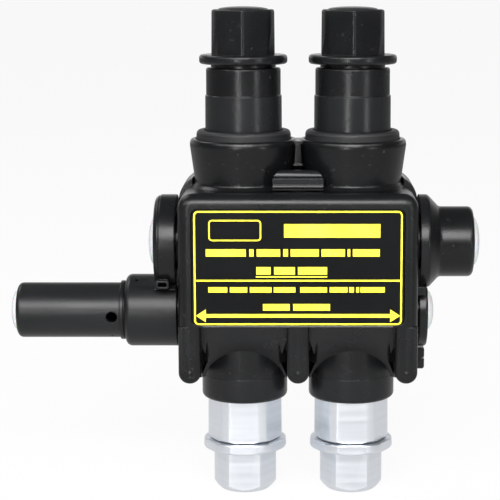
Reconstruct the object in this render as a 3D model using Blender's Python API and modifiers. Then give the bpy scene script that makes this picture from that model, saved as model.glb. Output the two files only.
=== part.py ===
"""Insulated service connector with two insulated main bolts, two bare house bolts and four ports.

The origin is where the main conductor crosses the middle of the contact body. X runs along the
conductors, Z runs along the bolts, and the label faces -Y.
"""

import math

import bmesh
import bpy
from mathutils import Matrix

MM = 0.001

# Layout
BOLT_PITCH = 25.8 * MM
BOLT_MARGIN = 14.9 * MM
PORT_DROP = 16.7 * MM
CLEARANCE = 0.3 * MM
PLAY = 0.6 * MM
BITE = 1.0 * MM
SLIVER = 0.05 * MM
NEAR = 0.01 * MM
SMOOTH_ANGLE = math.radians(28)
STEPS = 28
FINE_STEPS = 20
INNER_STEPS = 16
DOME_STEPS = 3
EDGE_STEPS = 3

# Main housing moulding
HOUSING_TOP = 13.5 * MM
LEDGE_DEPTH = 18.2 * MM
FRONT_REACH = 17.5 * MM
TUB_REAR = 13.7 * MM
CORNER_RADIUS = 3.6 * MM
ROLL_RADIUS = 2.6 * MM
SIDE_WALL = 2.6 * MM
COVER_WALL = 1.7 * MM
TUB_FLOOR_WALL = 1.3 * MM
FUNNEL_SET_BACK = 0.9 * MM
FUNNEL_SLOPE = 0.887
FUNNEL_GAP = 3.0 * MM
FUNNEL_WAIST = 5.6 * MM
FUNNEL_WAIST_DROP = 10.1 * MM
FUNNEL_FOOT_DROP = 15.1 * MM
TUB_SET_BACK = 1.2 * MM
POCKET_WALL = 1.3 * MM
FINGER_WIDTH = 5.2 * MM
FINGER_DROP = 13.2 * MM
NUB_RADIUS = 0.9 * MM
NUB_HEIGHT = 0.5 * MM
FINGER_EDGE = 2.1 * MM

# Upper cups
CUP_GAP = 0.1 * MM
CUP_LEAN = 1.3 * MM
CUP_LIP = 1.35 * MM
CUP_WALL = 1.95 * MM
CUP_RIM_HEIGHT = 11.3 * MM
CUP_EDGE = 0.6 * MM
CUP_FILLET = 0.8 * MM

# Lower cups
LOWER_CUP_STEP = 1.25 * MM
LOWER_CUP_OVERLAP = 0.9 * MM
LOWER_CUP_WALL = 1.1 * MM
LOWER_CUP_EDGE = 0.7 * MM

# Rear cover moulding
COVER_RISE = 2.5 * MM
COVER_ROOM = 4.5 * MM
COVER_REAR = 16.0 * MM
COVER_SHOULDER = 6.2 * MM
COVER_FOOT = 5.0 * MM
COVER_EDGE = 2.4 * MM

# Label
LABEL_MARGIN = 3.0 * MM
LABEL_HEIGHT = 27.0 * MM
LABEL_SILL = 0.9 * MM
LABEL_THICKNESS = 0.5 * MM
LABEL_CORNER = 1.3 * MM
LABEL_SHADOW = 0.15 * MM

# Web, rib and clip between the upper cups
WEB_THICKNESS = 2.0 * MM
WEB_REACH = 3.4 * MM
RIB_WIDTH = 1.5 * MM
RIB_REACH = 6.0 * MM
BRIDGE_THICKNESS = 0.8 * MM
BRIDGE_REACH = 4.5 * MM
CLIP_WIDTH = 12.2 * MM
CLIP_HEIGHT = 5.0 * MM
CLIP_FRONT = 12.9 * MM
CLIP_BACK = 10.6 * MM
CLIP_STEP = 0.7 * MM
CLIP_GROOVE_DROP = 1.9 * MM
CLIP_BASE_RISE = 1.0 * MM
CLIP_CORNER = 1.9 * MM

# Contact body and its tunnels
BODY_MARGIN = 4.3 * MM
MAIN_TUNNEL_WIDTH = 12.0 * MM
MAIN_TUNNEL_FLOOR = 5.7 * MM
HOUSE_TUNNEL_WIDTH = 10.4 * MM
HOUSE_TUNNEL_ROOF = 4.8 * MM
TUNNEL_SIDE = 3.8 * MM
LOWER_TUNNEL_SIDE = 2.4 * MM
BODY_ROOF = 2.6 * MM
BODY_FLOOR = 2.0 * MM
BODY_BEVEL = 1.0 * MM

# Piercing plate
PLATE_WIDTH = 9.0 * MM
PLATE_BASE = 1.0 * MM
PLATE_SEAT = 0.9 * MM
TOOTH_PITCH = 2.4 * MM
TOOTH_HEIGHT = 1.2 * MM
TEETH = 15

# Saddles, and how far the bolts drive them
MAIN_OPENING = 5.8 * MM
MAIN_SADDLE = 2.5 * MM
MAIN_TRAVEL = 6.0 * MM
HOUSE_OPENING = 4.8 * MM
HOUSE_SADDLE = 2.0 * MM
HOUSE_TRAVEL = 6.0 * MM
SADDLE_LENGTH = 12.0 * MM
SOCKET_DEPTH = 1.2 * MM
TIP_RADIUS = 3.0 * MM
GROOVE_DEPTH = 0.8 * MM
GROOVE_WIDTH = 6.0 * MM

# Main bolt, an insulating cap on a screw
SCREW_RADIUS = 5.0 * MM
SCREW_DRIVE = 11.0 * MM
SCREW_DRIVE_LENGTH = 9.0 * MM
CAP_FLOOR = 1.8 * MM
BUSH_HEIGHT = 6.0 * MM
BUSH_SHOULDER = 1.6 * MM
BARREL_ROOM = 0.7 * MM
BARREL_LENGTH = 10.8 * MM
BARREL_NECK_LENGTH = 6.5 * MM
BARREL_RELIEF = 0.3 * MM
BARREL_EDGE = 0.3 * MM
SHEAR_DEPTH = 1.15 * MM
SHEAR_GAP = 0.9 * MM
FLANGE_STEP = 1.3 * MM
FLANGE_EDGE = 0.8 * MM
HEAD_FLANGE_HEIGHT = 2.2 * MM
HEAD_FLATS = 14.6 * MM
HEAD_HEIGHT = 10.5 * MM
HEAD_SIDE_TRIM = 2.7 * MM
HEAD_FRONT_TRIM = 0.8 * MM
HEAD_CHAMFER = 0.6 * MM
HEAD_DISC = 5.9 * MM
HEAD_DISC_HEIGHT = 0.7 * MM
RING_WIDTH = 1.8 * MM
RING_PROUD = 2.1 * MM
RING_SEAT = 3.0 * MM

# House bolt, aluminium with two heads
SHANK_RADIUS = 5.0 * MM
HOUSE_BUSH_HEIGHT = 4.1 * MM
HOUSE_BUSH_SHOULDER = 2.7 * MM
HEAD_PLAY = 0.35 * MM
LARGE_ROUNDING = 0.6 * MM
LARGE_SHOULDER = 0.6 * MM
HOUSE_HEAD_ROOM = 0.6 * MM
LARGE_HEIGHT = 11.0 * MM
COLLAR_STANDOFF = 1.25 * MM
COLLAR_ROUNDING = 0.55 * MM
COLLAR_HEIGHT = 2.2 * MM
GROOVE_GAP = 0.3 * MM
CORE_DEPTH = 2.25 * MM
SMALL_FLATS = 13.0 * MM
SMALL_HEIGHT = 10.1 * MM
SMALL_CHAMFER = 1.7 * MM

# Glands, seals and the house sleeve
SPIGOT_RADIUS = 6.7 * MM
SPIGOT_WALL = 0.9 * MM
GLAND_RADIUS = 11.3 * MM
GLAND_EDGE = 1.8 * MM
LEFT_GLAND_LENGTH = 5.25 * MM
RIGHT_FLANGE = 2.1 * MM
RIGHT_CONE = 2.7 * MM
RIGHT_BOSS_LENGTH = 8.1 * MM
BOSS_WALL = 1.9 * MM
BOSS_EDGE = 1.2 * MM
SEAL_RADIUS = 6.2 * MM
SEAL_DOME = 1.65 * MM
SEAL_SEAT = 3.0 * MM
SEAL_WALL = 0.9 * MM
HOUSE_SPIGOT_RADIUS = 5.7 * MM
HOUSE_SPIGOT_WALL = 0.8 * MM
HOUSE_GLAND_RADIUS = 8.7 * MM
HOUSE_GLAND_LENGTH = 2.0 * MM
HOUSE_SEAL_RADIUS = 5.1 * MM
HOUSE_SEAL_DOME = 1.8 * MM
SLEEVE_SEAL_DOME = 1.65 * MM
COLLAR_LENGTH = 11.9 * MM
COLLAR_EDGE = 0.8 * MM
COLLAR_WALL = 0.75 * MM
COLLAR_SHOULDER = 1.0 * MM
COLLAR_STEP = 1.5 * MM
SLEEVE_WALL = 1.2 * MM
SLEEVE_EDGE = 1.06 * MM
SLEEVE_LENGTH = 32.65 * MM
PARTING_RISE = 6.3 * MM
SLEEVE_HOLE = 1.3 * MM
SLEEVE_HOLE_REACH = 15.5 * MM
SLEEVE_HOLE_DROP = 0.6 * MM

# Small lugs on the sides
LUG_REACH = 2.2 * MM
LUG_HEIGHT = 2.0 * MM
LUG_FRONT = 9.6 * MM
LUG_DEPTH = 2.0 * MM
HOOK_START = 1.0 * MM
HOOK_LENGTH = 3.1 * MM
HOOK_FRONT = 8.8 * MM
HOOK_DEPTH = 4.0 * MM
HOOK_HEIGHT = 2.0 * MM
SNAP_DEPTH = 4.0 * MM
SNAP_REACH = 2.2 * MM
SNAP_HEIGHT = 5.2 * MM
SNAP_BELOW = 12.2 * MM
SNAP_NOTCH = 0.8 * MM

# Places worked out from the sizes above
SIDES = (("left", -1), ("right", 1))
BOLT_X = BOLT_PITCH / 2
HOUSING_WIDTH = BOLT_PITCH + 2 * BOLT_MARGIN
HALF_WIDTH = HOUSING_WIDTH / 2
CUP_RIM_RADIUS = BOLT_X - CUP_GAP / 2
CUP_BASE_RADIUS = CUP_RIM_RADIUS - CUP_LEAN
CUP_BORE = CUP_BASE_RADIUS - CUP_WALL
RING_SEAT_RADIUS = CUP_RIM_RADIUS - CUP_LIP
RING_RADIUS = RING_SEAT_RADIUS - CLEARANCE
BARREL_RADIUS = RING_RADIUS - RING_WIDTH - CLEARANCE
BARREL_NECK = BARREL_RADIUS - BARREL_RELIEF
SHEAR_NECK = BARREL_NECK - SHEAR_DEPTH
HEAD_FLANGE = BARREL_RADIUS + FLANGE_STEP
BUSH_RADIUS = CUP_BORE - CLEARANCE
BUSH_SPIGOT = BUSH_RADIUS - BUSH_SHOULDER
LOWER_CUP_RADIUS = CUP_BASE_RADIUS - LOWER_CUP_STEP
LOWER_BORE = LOWER_CUP_RADIUS - LOWER_CUP_WALL
HOUSE_BUSH_RADIUS = LOWER_BORE - CLEARANCE
HOUSE_BUSH_SPIGOT = HOUSE_BUSH_RADIUS - HOUSE_BUSH_SHOULDER
LARGE_CORNERS = 2 * (LOWER_BORE - HEAD_PLAY)
LARGE_FLATS = LARGE_CORNERS - 2 * LARGE_ROUNDING
COLLAR_FLATS = LARGE_FLATS + 2 * COLLAR_STANDOFF
COLLAR_CORNERS = COLLAR_FLATS + 2 * COLLAR_ROUNDING
CORE_RADIUS = LARGE_FLATS / 2 - CORE_DEPTH
FUNNEL_TOP_WIDTH = BOLT_PITCH - FUNNEL_GAP
FUNNEL_WAIST_WIDTH = FUNNEL_TOP_WIDTH - FUNNEL_WAIST
FUNNEL_FOOT_WIDTH = 2 * LOWER_CUP_RADIUS
MAIN_BORE = SPIGOT_RADIUS - SPIGOT_WALL
HOUSE_BORE = HOUSE_SPIGOT_RADIUS - HOUSE_SPIGOT_WALL
RIGHT_BOSS_RADIUS = SEAL_RADIUS + CLEARANCE + BOSS_WALL
SLEEVE_RADIUS = HOUSE_SEAL_RADIUS + CLEARANCE + SLEEVE_WALL
COLLAR_STEP_RADIUS = SLEEVE_RADIUS + CLEARANCE + COLLAR_WALL
COLLAR_RADIUS = COLLAR_STEP_RADIUS + COLLAR_SHOULDER
LEDGE = -LEDGE_DEPTH
CUP_RIM = HOUSING_TOP + CUP_RIM_HEIGHT
TUB_HALF = HALF_WIDTH - SIDE_WALL / 2
COVER_HALF = TUB_HALF + CLEARANCE + COVER_WALL
COVER_TOP = HOUSING_TOP + COVER_RISE
FACE_Y = FUNNEL_SET_BACK - FRONT_REACH
TUNNEL_TOP = MAIN_OPENING + MAIN_SADDLE + CLEARANCE
BODY_TOP = TUNNEL_TOP + BODY_ROOF
TUNNEL_BOTTOM = -PORT_DROP - HOUSE_OPENING - HOUSE_SADDLE - CLEARANCE
BODY_BOTTOM = TUNNEL_BOTTOM - BODY_FLOOR
BODY_LENGTH = HOUSING_WIDTH - 2 * BODY_MARGIN
LABEL_WIDTH = HOUSING_WIDTH - 2 * LABEL_MARGIN
TUB_FLOOR = BODY_BOTTOM - CLEARANCE - TUB_FLOOR_WALL
COVER_FLOOR = TUB_FLOOR - COVER_ROOM
COVER_FOOT_Z = COVER_FLOOR - COVER_WALL
BODY_SHOULDER = -MAIN_TUNNEL_FLOOR - TUNNEL_SIDE
UPPER_HALF_DEPTH = MAIN_TUNNEL_WIDTH / 2 + TUNNEL_SIDE
LOWER_HALF_DEPTH = HOUSE_TUNNEL_WIDTH / 2 + LOWER_TUNNEL_SIDE
BUSH_TOP = BODY_TOP + CLEARANCE + BUSH_HEIGHT
BARREL_FOOT = BUSH_TOP + MAIN_TRAVEL + BARREL_ROOM
BARREL_STEP = BARREL_FOOT + BARREL_LENGTH
BARREL_TOP = BARREL_STEP + BARREL_NECK_LENGTH
SCREW_SHOULDER = BARREL_FOOT + CAP_FLOOR
HEAD_BASE = BARREL_TOP + SHEAR_GAP + HEAD_FLANGE_HEIGHT
HEAD_TOP = HEAD_BASE + HEAD_HEIGHT
HOUSE_BUSH_FOOT = BODY_BOTTOM - CLEARANCE - HOUSE_BUSH_HEIGHT
LARGE_TOP = HOUSE_BUSH_FOOT - HOUSE_TRAVEL - HOUSE_HEAD_ROOM
CUP_FOOT = LARGE_TOP - LOWER_CUP_OVERLAP
LARGE_FOOT = LARGE_TOP - LARGE_HEIGHT
COLLAR_TOP = LARGE_FOOT - GROOVE_GAP
COLLAR_FOOT = COLLAR_TOP - COLLAR_HEIGHT
SMALL_TOP = COLLAR_FOOT - GROOVE_GAP
SMALL_FOOT = SMALL_TOP - SMALL_HEIGHT
PORT_FACE = COVER_HALF + CLEARANCE
PARTING = PARTING_RISE - PORT_DROP
SNAP_MIDDLE = -PORT_DROP - SNAP_BELOW
SPIGOT_START = BODY_LENGTH / 2 + 2 * CLEARANCE

PLANES = {
    "XY": lambda a, b, c: (a, b, c),
    "XZ": lambda a, b, c: (a, c, b),
    "YZ": lambda a, b, c: (c, a, b),
}


def make_collection(name):
    group = bpy.data.collections.new(name)
    bpy.context.scene.collection.children.link(group)
    return group


def make_finish(name, colour, roughness, metallic=0.0):
    finish = bpy.data.materials.new(name)
    finish.use_nodes = True
    shader = finish.node_tree.nodes["Principled BSDF"]
    shader.inputs["Base Color"].default_value = (*colour, 1.0)
    shader.inputs["Roughness"].default_value = roughness
    shader.inputs["Metallic"].default_value = metallic
    return finish


def blank(name, form):
    """A shape still being worked on: a bmesh made into an object among the cutters."""
    mesh = bpy.data.meshes.new(name)
    form.to_mesh(mesh)
    form.free()
    shape = bpy.data.objects.new(name, mesh)
    shape.hide_render = True
    shape.display_type = "WIRE"
    CUTTERS.objects.link(shape)
    return shape


def combine(shape, tool, operation):
    step = shape.modifiers.new(tool.name, "BOOLEAN")
    step.operation = operation
    step.solver = "EXACT"
    step.object = tool


def join(shape, *tools):
    for tool in tools:
        combine(shape, tool, "UNION")
    return shape


def cut(shape, *tools):
    for tool in tools:
        combine(shape, tool, "DIFFERENCE")
    return shape


def common(shape, tool):
    combine(shape, tool, "INTERSECT")
    return shape


def finished(shape):
    """The mesh that a worked shape ends as, with its modifiers applied."""
    graph = bpy.context.evaluated_depsgraph_get()
    mesh = bpy.data.meshes.new_from_object(shape.evaluated_get(graph))
    mesh.transform(shape.matrix_world)
    mesh.shade_smooth()
    mesh.set_sharp_from_angle(angle=SMOOTH_ANGLE)
    return mesh


def put(name, mesh, finish, place=(0, 0, 0)):
    """Adds one named piece of the product, with its origin at its place."""
    if not mesh.materials:
        mesh.materials.append(finish)
    piece = bpy.data.objects.new(name, mesh)
    piece.location = place
    PARTS.objects.link(piece)
    return piece


def rounded(corners, radii, steps=5):
    """An outline whose corners are arcs of the given radii."""
    points = []
    for number, (x, y) in enumerate(corners):
        radius = radii[number]
        if radius == 0:
            points.append((x, y))
            continue
        before = corners[number - 1]
        after = corners[(number + 1) % len(corners)]
        back = math.atan2(before[1] - y, before[0] - x)
        ahead = math.atan2(after[1] - y, after[0] - x)
        half = ((ahead - back + math.pi) % (2 * math.pi) - math.pi) / 2
        reach = radius / abs(math.sin(half))
        centre = (x + reach * math.cos(back + half), y + reach * math.sin(back + half))
        sweep = math.pi - 2 * abs(half)
        middle = back + half + math.pi
        turn = -math.copysign(1, half)
        for step in range(steps + 1):
            angle = middle + turn * sweep * (step / steps - 0.5)
            points.append((centre[0] + radius * math.cos(angle), centre[1] + radius * math.sin(angle)))
    return points


def box_outline(left, low, right, high):
    return [(left, low), (right, low), (right, high), (left, high)]


def prism(outline, start, end, plane="XZ"):
    """A flat outline carried straight from start to end across its plane."""
    form = bmesh.new()
    corners = [form.verts.new(PLANES[plane](a, b, start)) for a, b in outline]
    face = form.faces.new(corners)
    carried = bmesh.ops.extrude_face_region(form, geom=[face])["geom"]
    moved = [item for item in carried if isinstance(item, bmesh.types.BMVert)]
    bmesh.ops.translate(form, verts=moved, vec=PLANES[plane](0, 0, end - start))
    bmesh.ops.recalc_face_normals(form, faces=form.faces)
    return form


def near(value, target):
    return abs(value - target) < NEAR


def roll_edges(form, chosen, radius, segments):
    """Rounds the edges whose two end points pass the test."""
    edges = [edge for edge in form.edges if chosen(*(vert.co for vert in edge.verts))]
    bmesh.ops.bevel(
        form, geom=edges, offset=radius, offset_type="OFFSET", segments=segments,
        profile=0.5, affect="EDGES", material=-1, clamp_overlap=True,
    )


def turned(name, points, steps=STEPS, axis="Z", spot=(0, 0, 0)):
    """A shape turned from (radius, height) points, which run down the outer side first."""
    form = bmesh.new()
    verts = [form.verts.new((radius, 0, height)) for radius, height in points]
    for first, second in zip(verts, verts[1:]):
        form.edges.new((first, second))
    if points[0][0] > 0:
        form.edges.new((verts[-1], verts[0]))
    shape = blank(name, form)
    turn = shape.modifiers.new("Turn", "SCREW")
    turn.steps = steps
    turn.render_steps = steps
    turn.use_merge_vertices = True
    turn.merge_threshold = 0.00001
    turns = {"Z": 0, "+X": math.pi / 2, "-X": -math.pi / 2}
    shape.matrix_world = Matrix.Translation(spot) @ Matrix.Rotation(turns[axis], 4, "Y")
    return shape


def cylinder(name, radius, low, high, steps=STEPS, axis="Z", spot=(0, 0, 0)):
    return turned(name, [(0, high), (radius, high), (radius, low), (0, low)], steps, axis, spot)


def hexagon(flats, turn=0.0):
    """Hexagon corners: with no turn, one pair of flats faces front and back."""
    reach = flats / math.sqrt(3)
    angles = [turn + math.radians(60 * corner) for corner in range(6)]
    return [(reach * math.cos(angle), reach * math.sin(angle)) for angle in angles]


def trimmed(corners, trims):
    """Cuts a short flat across each corner of an outline."""
    points = []
    for number, corner in enumerate(corners):
        for beside in (corners[number - 1], corners[(number + 1) % len(corners)]):
            along = (beside[0] - corner[0], beside[1] - corner[1])
            share = trims[number] / math.sqrt(3) / math.hypot(*along)
            points.append((corner[0] + along[0] * share, corner[1] + along[1] * share))
    return points


def slope_y(height):
    """Where the sloped front of a funnel lies at a height."""
    return FACE_Y + (LEDGE - height) * FUNNEL_SLOPE


def slope_section(low):
    """All that lies in front of a funnel's sloped face, as a section across the product."""
    top = LEDGE - SLIVER
    return [
        (-3 * FRONT_REACH, top),
        (slope_y(top), top),
        (slope_y(low), low),
        (-3 * FRONT_REACH, low),
    ]


def make_front_block():
    outline = rounded(
        box_outline(-HALF_WIDTH, LEDGE, HALF_WIDTH, HOUSING_TOP),
        [0, 0, CORNER_RADIUS, CORNER_RADIUS],
    )
    form = prism(outline, -FRONT_REACH, -CLEARANCE)

    def on_rim(one, other):
        in_front = near(one.y, -FRONT_REACH) and near(other.y, -FRONT_REACH)
        return in_front and not (near(one.z, LEDGE) and near(other.z, LEDGE))

    roll_edges(form, on_rim, ROLL_RADIUS, 5)
    return blank("front_block", form)


def make_tub():
    """The box behind the front block. Under the ledge it steps back to leave the funnels' side pockets."""
    front = FACE_Y + TUB_SET_BACK
    pocket = -LOWER_HALF_DEPTH - CLEARANCE - POCKET_WALL
    pocket_foot = LEDGE - (pocket - front) / FUNNEL_SLOPE
    section = [
        (front, HOUSING_TOP),
        (front, LEDGE + BITE),
        (pocket, LEDGE + BITE),
        (pocket, pocket_foot),
        (slope_y(TUB_FLOOR) + TUB_SET_BACK, TUB_FLOOR),
        (TUB_REAR, TUB_FLOOR),
        (TUB_REAR, HOUSING_TOP),
    ]
    form = prism(section, -TUB_HALF, TUB_HALF, "YZ")

    def on_shoulder(one, other):
        return near(one.z, HOUSING_TOP) and near(other.z, HOUSING_TOP) and near(one.x, other.x)

    roll_edges(form, on_shoulder, COVER_SHOULDER - COVER_WALL - CLEARANCE, 4)
    return blank("tub", form)


def make_funnel(side):
    widths = (
        (LEDGE + BITE, FUNNEL_TOP_WIDTH),
        (LEDGE, FUNNEL_TOP_WIDTH),
        (LEDGE - FUNNEL_WAIST_DROP, FUNNEL_WAIST_WIDTH),
        (LEDGE - FUNNEL_FOOT_DROP, FUNNEL_FOOT_WIDTH),
    )
    right = [(side * BOLT_X + width / 2, height) for height, width in widths]
    left = [(side * BOLT_X - width / 2, height) for height, width in reversed(widths)]
    funnel = blank("funnel", prism(right + left, FACE_Y, -CLEARANCE))
    slope = prism(slope_section(CUP_FOOT), -HOUSING_WIDTH, HOUSING_WIDTH, "YZ")
    return cut(funnel, blank("slope", slope))


def make_finger(middle):
    """A rib between the funnels whose front edge and foot are fully round."""
    half = FINGER_WIDTH / 2 - SLIVER
    foot = LEDGE - FINGER_DROP
    top = LEDGE + 3 * BITE
    round_foot = half - SLIVER
    outline = rounded(box_outline(middle - half, foot, middle + half, top), [round_foot, round_foot, 0, 0])
    front = SLIVER - FRONT_REACH
    form = prism(outline, front, -CLEARANCE)

    def on_rim(one, other):
        in_front = near(one.y, front) and near(other.y, front)
        return in_front and not (near(one.z, top) and near(other.z, top))

    roll_edges(form, on_rim, FINGER_EDGE, 4)
    return blank("finger", form)


def make_nub(middle):
    """The small round mark near the foot of a finger."""
    low = LEDGE - FINGER_DROP + FINGER_WIDTH / 2
    form = bmesh.new()
    bmesh.ops.create_cone(
        form, cap_ends=True, segments=8, radius1=NUB_RADIUS, radius2=NUB_RADIUS / 2,
        depth=NUB_HEIGHT + BITE, matrix=Matrix.Rotation(math.pi / 2, 4, "X"),
    )
    reach = (NUB_HEIGHT + BITE) / 2 - NUB_HEIGHT - FRONT_REACH
    bmesh.ops.translate(form, verts=form.verts, vec=(middle, reach, low))
    return blank("nub", form)


def make_upper_cup(side):
    points = [
        (0, CUP_RIM),
        (CUP_RIM_RADIUS - CUP_EDGE, CUP_RIM),
        (CUP_RIM_RADIUS - CUP_EDGE / 3, CUP_RIM - CUP_EDGE / 3),
        (CUP_RIM_RADIUS, CUP_RIM - CUP_EDGE),
        (CUP_BASE_RADIUS, HOUSING_TOP + CUP_FILLET),
        (CUP_BASE_RADIUS + CUP_FILLET / 3, HOUSING_TOP + CUP_FILLET / 3),
        (CUP_BASE_RADIUS + CUP_FILLET, HOUSING_TOP - SLIVER),
        (CUP_BASE_RADIUS + CUP_FILLET, HOUSING_TOP - BITE),
        (0, HOUSING_TOP - BITE),
    ]
    return turned("upper_cup", points, spot=(side * BOLT_X, 0, 0))


def make_lower_cup(side):
    points = [
        (0, LEDGE - BITE),
        (LOWER_CUP_RADIUS, LEDGE - BITE),
        (LOWER_CUP_RADIUS, CUP_FOOT + LOWER_CUP_EDGE),
        (LOWER_CUP_RADIUS - LOWER_CUP_EDGE / 3, CUP_FOOT + LOWER_CUP_EDGE / 3),
        (LOWER_CUP_RADIUS - LOWER_CUP_EDGE, CUP_FOOT),
        (0, CUP_FOOT),
    ]
    return turned("lower_cup", points, spot=(side * BOLT_X, 0, 0))


def make_cup_web():
    """The web, bridge and front rib between the two upper cups."""
    low = HOUSING_TOP - BITE
    rib_low = HOUSING_TOP + CLIP_HEIGHT + 2 * CLEARANCE
    web = prism(
        box_outline(-WEB_REACH, low, WEB_REACH, CUP_RIM - CUP_EDGE),
        -WEB_THICKNESS / 2, WEB_THICKNESS / 2,
    )
    bridge_low = CUP_RIM - CUP_EDGE / 2 - BRIDGE_THICKNESS
    bridge = prism(
        box_outline(-WEB_REACH, bridge_low, WEB_REACH, CUP_RIM - CUP_EDGE / 2),
        -BRIDGE_REACH, BRIDGE_REACH,
    )
    rib = prism(
        box_outline(-RIB_WIDTH / 2, rib_low, RIB_WIDTH / 2, CUP_RIM - CUP_EDGE),
        -RIB_REACH, 0,
    )
    return blank("cup_web", web), blank("cup_bridge", bridge), blank("cup_rib", rib)


def body_section(room):
    """The contact body's outline across the product, grown by some room."""
    upper = UPPER_HALF_DEPTH + room
    lower = LOWER_HALF_DEPTH + room
    top = BODY_TOP + room
    bottom = BODY_BOTTOM - room
    step = upper - lower
    front = [
        (-upper, top),
        (-upper, BODY_SHOULDER),
        (-lower, BODY_SHOULDER - step),
        (-lower, bottom + BODY_BEVEL),
        (-lower + BODY_BEVEL, bottom),
    ]
    return front, [(-y, z) for y, z in reversed(front)]


def port_holes(radius_room):
    """Cutters for the ports through both side walls."""
    reach = 2 * HALF_WIDTH
    main = SPIGOT_RADIUS + radius_room
    house = HOUSE_SPIGOT_RADIUS + radius_room
    return (
        cylinder("main_port", main, -reach, reach, axis="+X"),
        cylinder("house_port", house, -reach, reach, axis="+X", spot=(0, 0, -PORT_DROP)),
    )


def make_housing(finish):
    housing = make_front_block()
    join(housing, make_tub())
    for _, side in SIDES:
        join(housing, make_funnel(side), make_lower_cup(side), make_upper_cup(side))
    outer = HALF_WIDTH - FINGER_WIDTH / 2
    for middle in (-outer, 0, outer):
        join(housing, make_finger(middle), make_nub(middle))
    join(housing, *make_cup_web(), make_lug())

    front, _ = body_section(CLEARANCE)
    open_rear = front + [(2 * TUB_REAR, front[-1][1]), (2 * TUB_REAR, front[0][1])]
    half = BODY_LENGTH / 2 + CLEARANCE
    cut(housing, blank("body_space", prism(open_rear, -half, half, "YZ")))
    for _, side in SIDES:
        place = (side * BOLT_X, 0, 0)
        seat = CUP_RIM - RING_SEAT
        bore = [(0, CUP_RIM + BITE), (RING_SEAT_RADIUS, CUP_RIM + BITE), (RING_SEAT_RADIUS, seat),
                (CUP_BORE, seat), (CUP_BORE, BODY_TOP - BITE), (0, BODY_TOP - BITE)]
        cut(housing, turned("cup_bore", bore, spot=place))
        cut(housing, cylinder("lower_bore", LOWER_BORE, CUP_FOOT - BITE, BODY_BOTTOM + BITE, spot=place))
    cut(housing, *port_holes(CLEARANCE))
    cut(housing, make_label_block("label_seat", CLEARANCE, LABEL_THICKNESS + CLEARANCE + LABEL_SHADOW, BITE))
    return put("main_housing", finished(housing), finish)


def make_label_block(name, room, depth, rise):
    """The label's outline, from a depth under the front face to a rise above it."""
    half = LABEL_WIDTH / 2 + room
    low = LEDGE + LABEL_SILL - room
    high = low + LABEL_HEIGHT + 2 * room
    outline = rounded(box_outline(-half, low, half, high), [LABEL_CORNER + room] * 4, 4)
    return blank(name, prism(outline, depth - FRONT_REACH, -rise - FRONT_REACH))


def make_label(finish):
    depth = LABEL_THICKNESS + LABEL_SHADOW
    label = make_label_block("label_blank", 0, depth, -LABEL_SHADOW)
    return put("label_plate", finished(label), finish)


def make_rear_cover(finish):
    outline = rounded(
        box_outline(-COVER_HALF, COVER_FOOT_Z, COVER_HALF, COVER_TOP),
        [COVER_FOOT, COVER_FOOT, COVER_SHOULDER, COVER_SHOULDER],
    )
    form = prism(outline, 0, COVER_REAR)

    def on_rear(one, other):
        return near(one.y, COVER_REAR) and near(other.y, COVER_REAR)

    roll_edges(form, on_rear, COVER_EDGE, 3)
    cover = blank("cover", form)
    half = COVER_HALF - COVER_WALL
    inner = rounded(
        box_outline(-half, COVER_FLOOR, half, HOUSING_TOP + CLEARANCE),
        [COVER_FOOT - COVER_WALL] * 2 + [COVER_SHOULDER - COVER_WALL] * 2,
    )
    cut(cover, blank("cover_space", prism(inner, -BITE, TUB_REAR + CLEARANCE)))
    notch = CUP_BASE_RADIUS + CUP_FILLET + CLEARANCE
    for _, side in SIDES:
        place = (side * BOLT_X, 0, 0)
        cut(cover, cylinder("cup_notch", notch, HOUSING_TOP - BITE, COVER_TOP + BITE, spot=place))
        room = LOWER_CUP_RADIUS + CLEARANCE
        cut(cover, cylinder("foot_notch", room, COVER_FOOT_Z - BITE, COVER_FLOOR + BITE, spot=place))
    web_room = WEB_THICKNESS / 2 + CLEARANCE
    web_notch = box_outline(-WEB_REACH, HOUSING_TOP, WEB_REACH, COVER_TOP + BITE)
    cut(cover, blank("web_notch", prism(web_notch, -web_room, web_room)))
    cut(cover, *port_holes(CLEARANCE))
    join(cover, make_snap())
    return put("rear_cover", finished(cover), finish)


def make_top_clip(finish):
    low = HOUSING_TOP + CLEARANCE
    high = low + CLIP_HEIGHT
    groove = high - CLIP_GROOVE_DROP
    base = low + CLIP_BASE_RISE
    section = [
        (-CLIP_BACK, low),
        (-CLIP_BACK, high),
        (CLIP_STEP - CLIP_FRONT, high),
        (CLIP_STEP / 4 - CLIP_FRONT, high - CLIP_STEP),
        (CLIP_STEP / 4 - CLIP_FRONT, groove + CLIP_STEP / 2),
        (CLIP_STEP - CLIP_FRONT, groove),
        (CLIP_STEP / 2 - CLIP_FRONT, base + CLIP_STEP / 3),
        (-CLIP_FRONT, base),
        (-CLIP_FRONT, low),
    ]
    bar = blank("clip_bar", prism(section, -CLIP_WIDTH / 2, CLIP_WIDTH / 2, "YZ"))
    sides = rounded(
        box_outline(-CLIP_WIDTH / 2, low - BITE, CLIP_WIDTH / 2, high),
        [0, 0, CLIP_CORNER, CLIP_CORNER],
    )
    common(bar, blank("clip_sides", prism(sides, -2 * CLIP_FRONT, 0)))
    tongue_end = RIB_REACH + CLEARANCE
    tongue = box_outline(-RIB_WIDTH / 2, low + BITE, RIB_WIDTH / 2, high - BITE)
    join(bar, blank("clip_tongue", prism(tongue, -CLIP_BACK - BITE, -tongue_end)))
    return put("top_clip", finished(bar), finish)


def make_lug():
    """A small moulded lug in the valley between the two ports of the right side."""
    low = PARTING - LUG_HEIGHT / 2
    outline = box_outline(HALF_WIDTH - BITE, low, HALF_WIDTH + LUG_REACH, low + LUG_HEIGHT)
    return blank("lug", prism(outline, -LUG_FRONT, LUG_DEPTH - LUG_FRONT))


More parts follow.
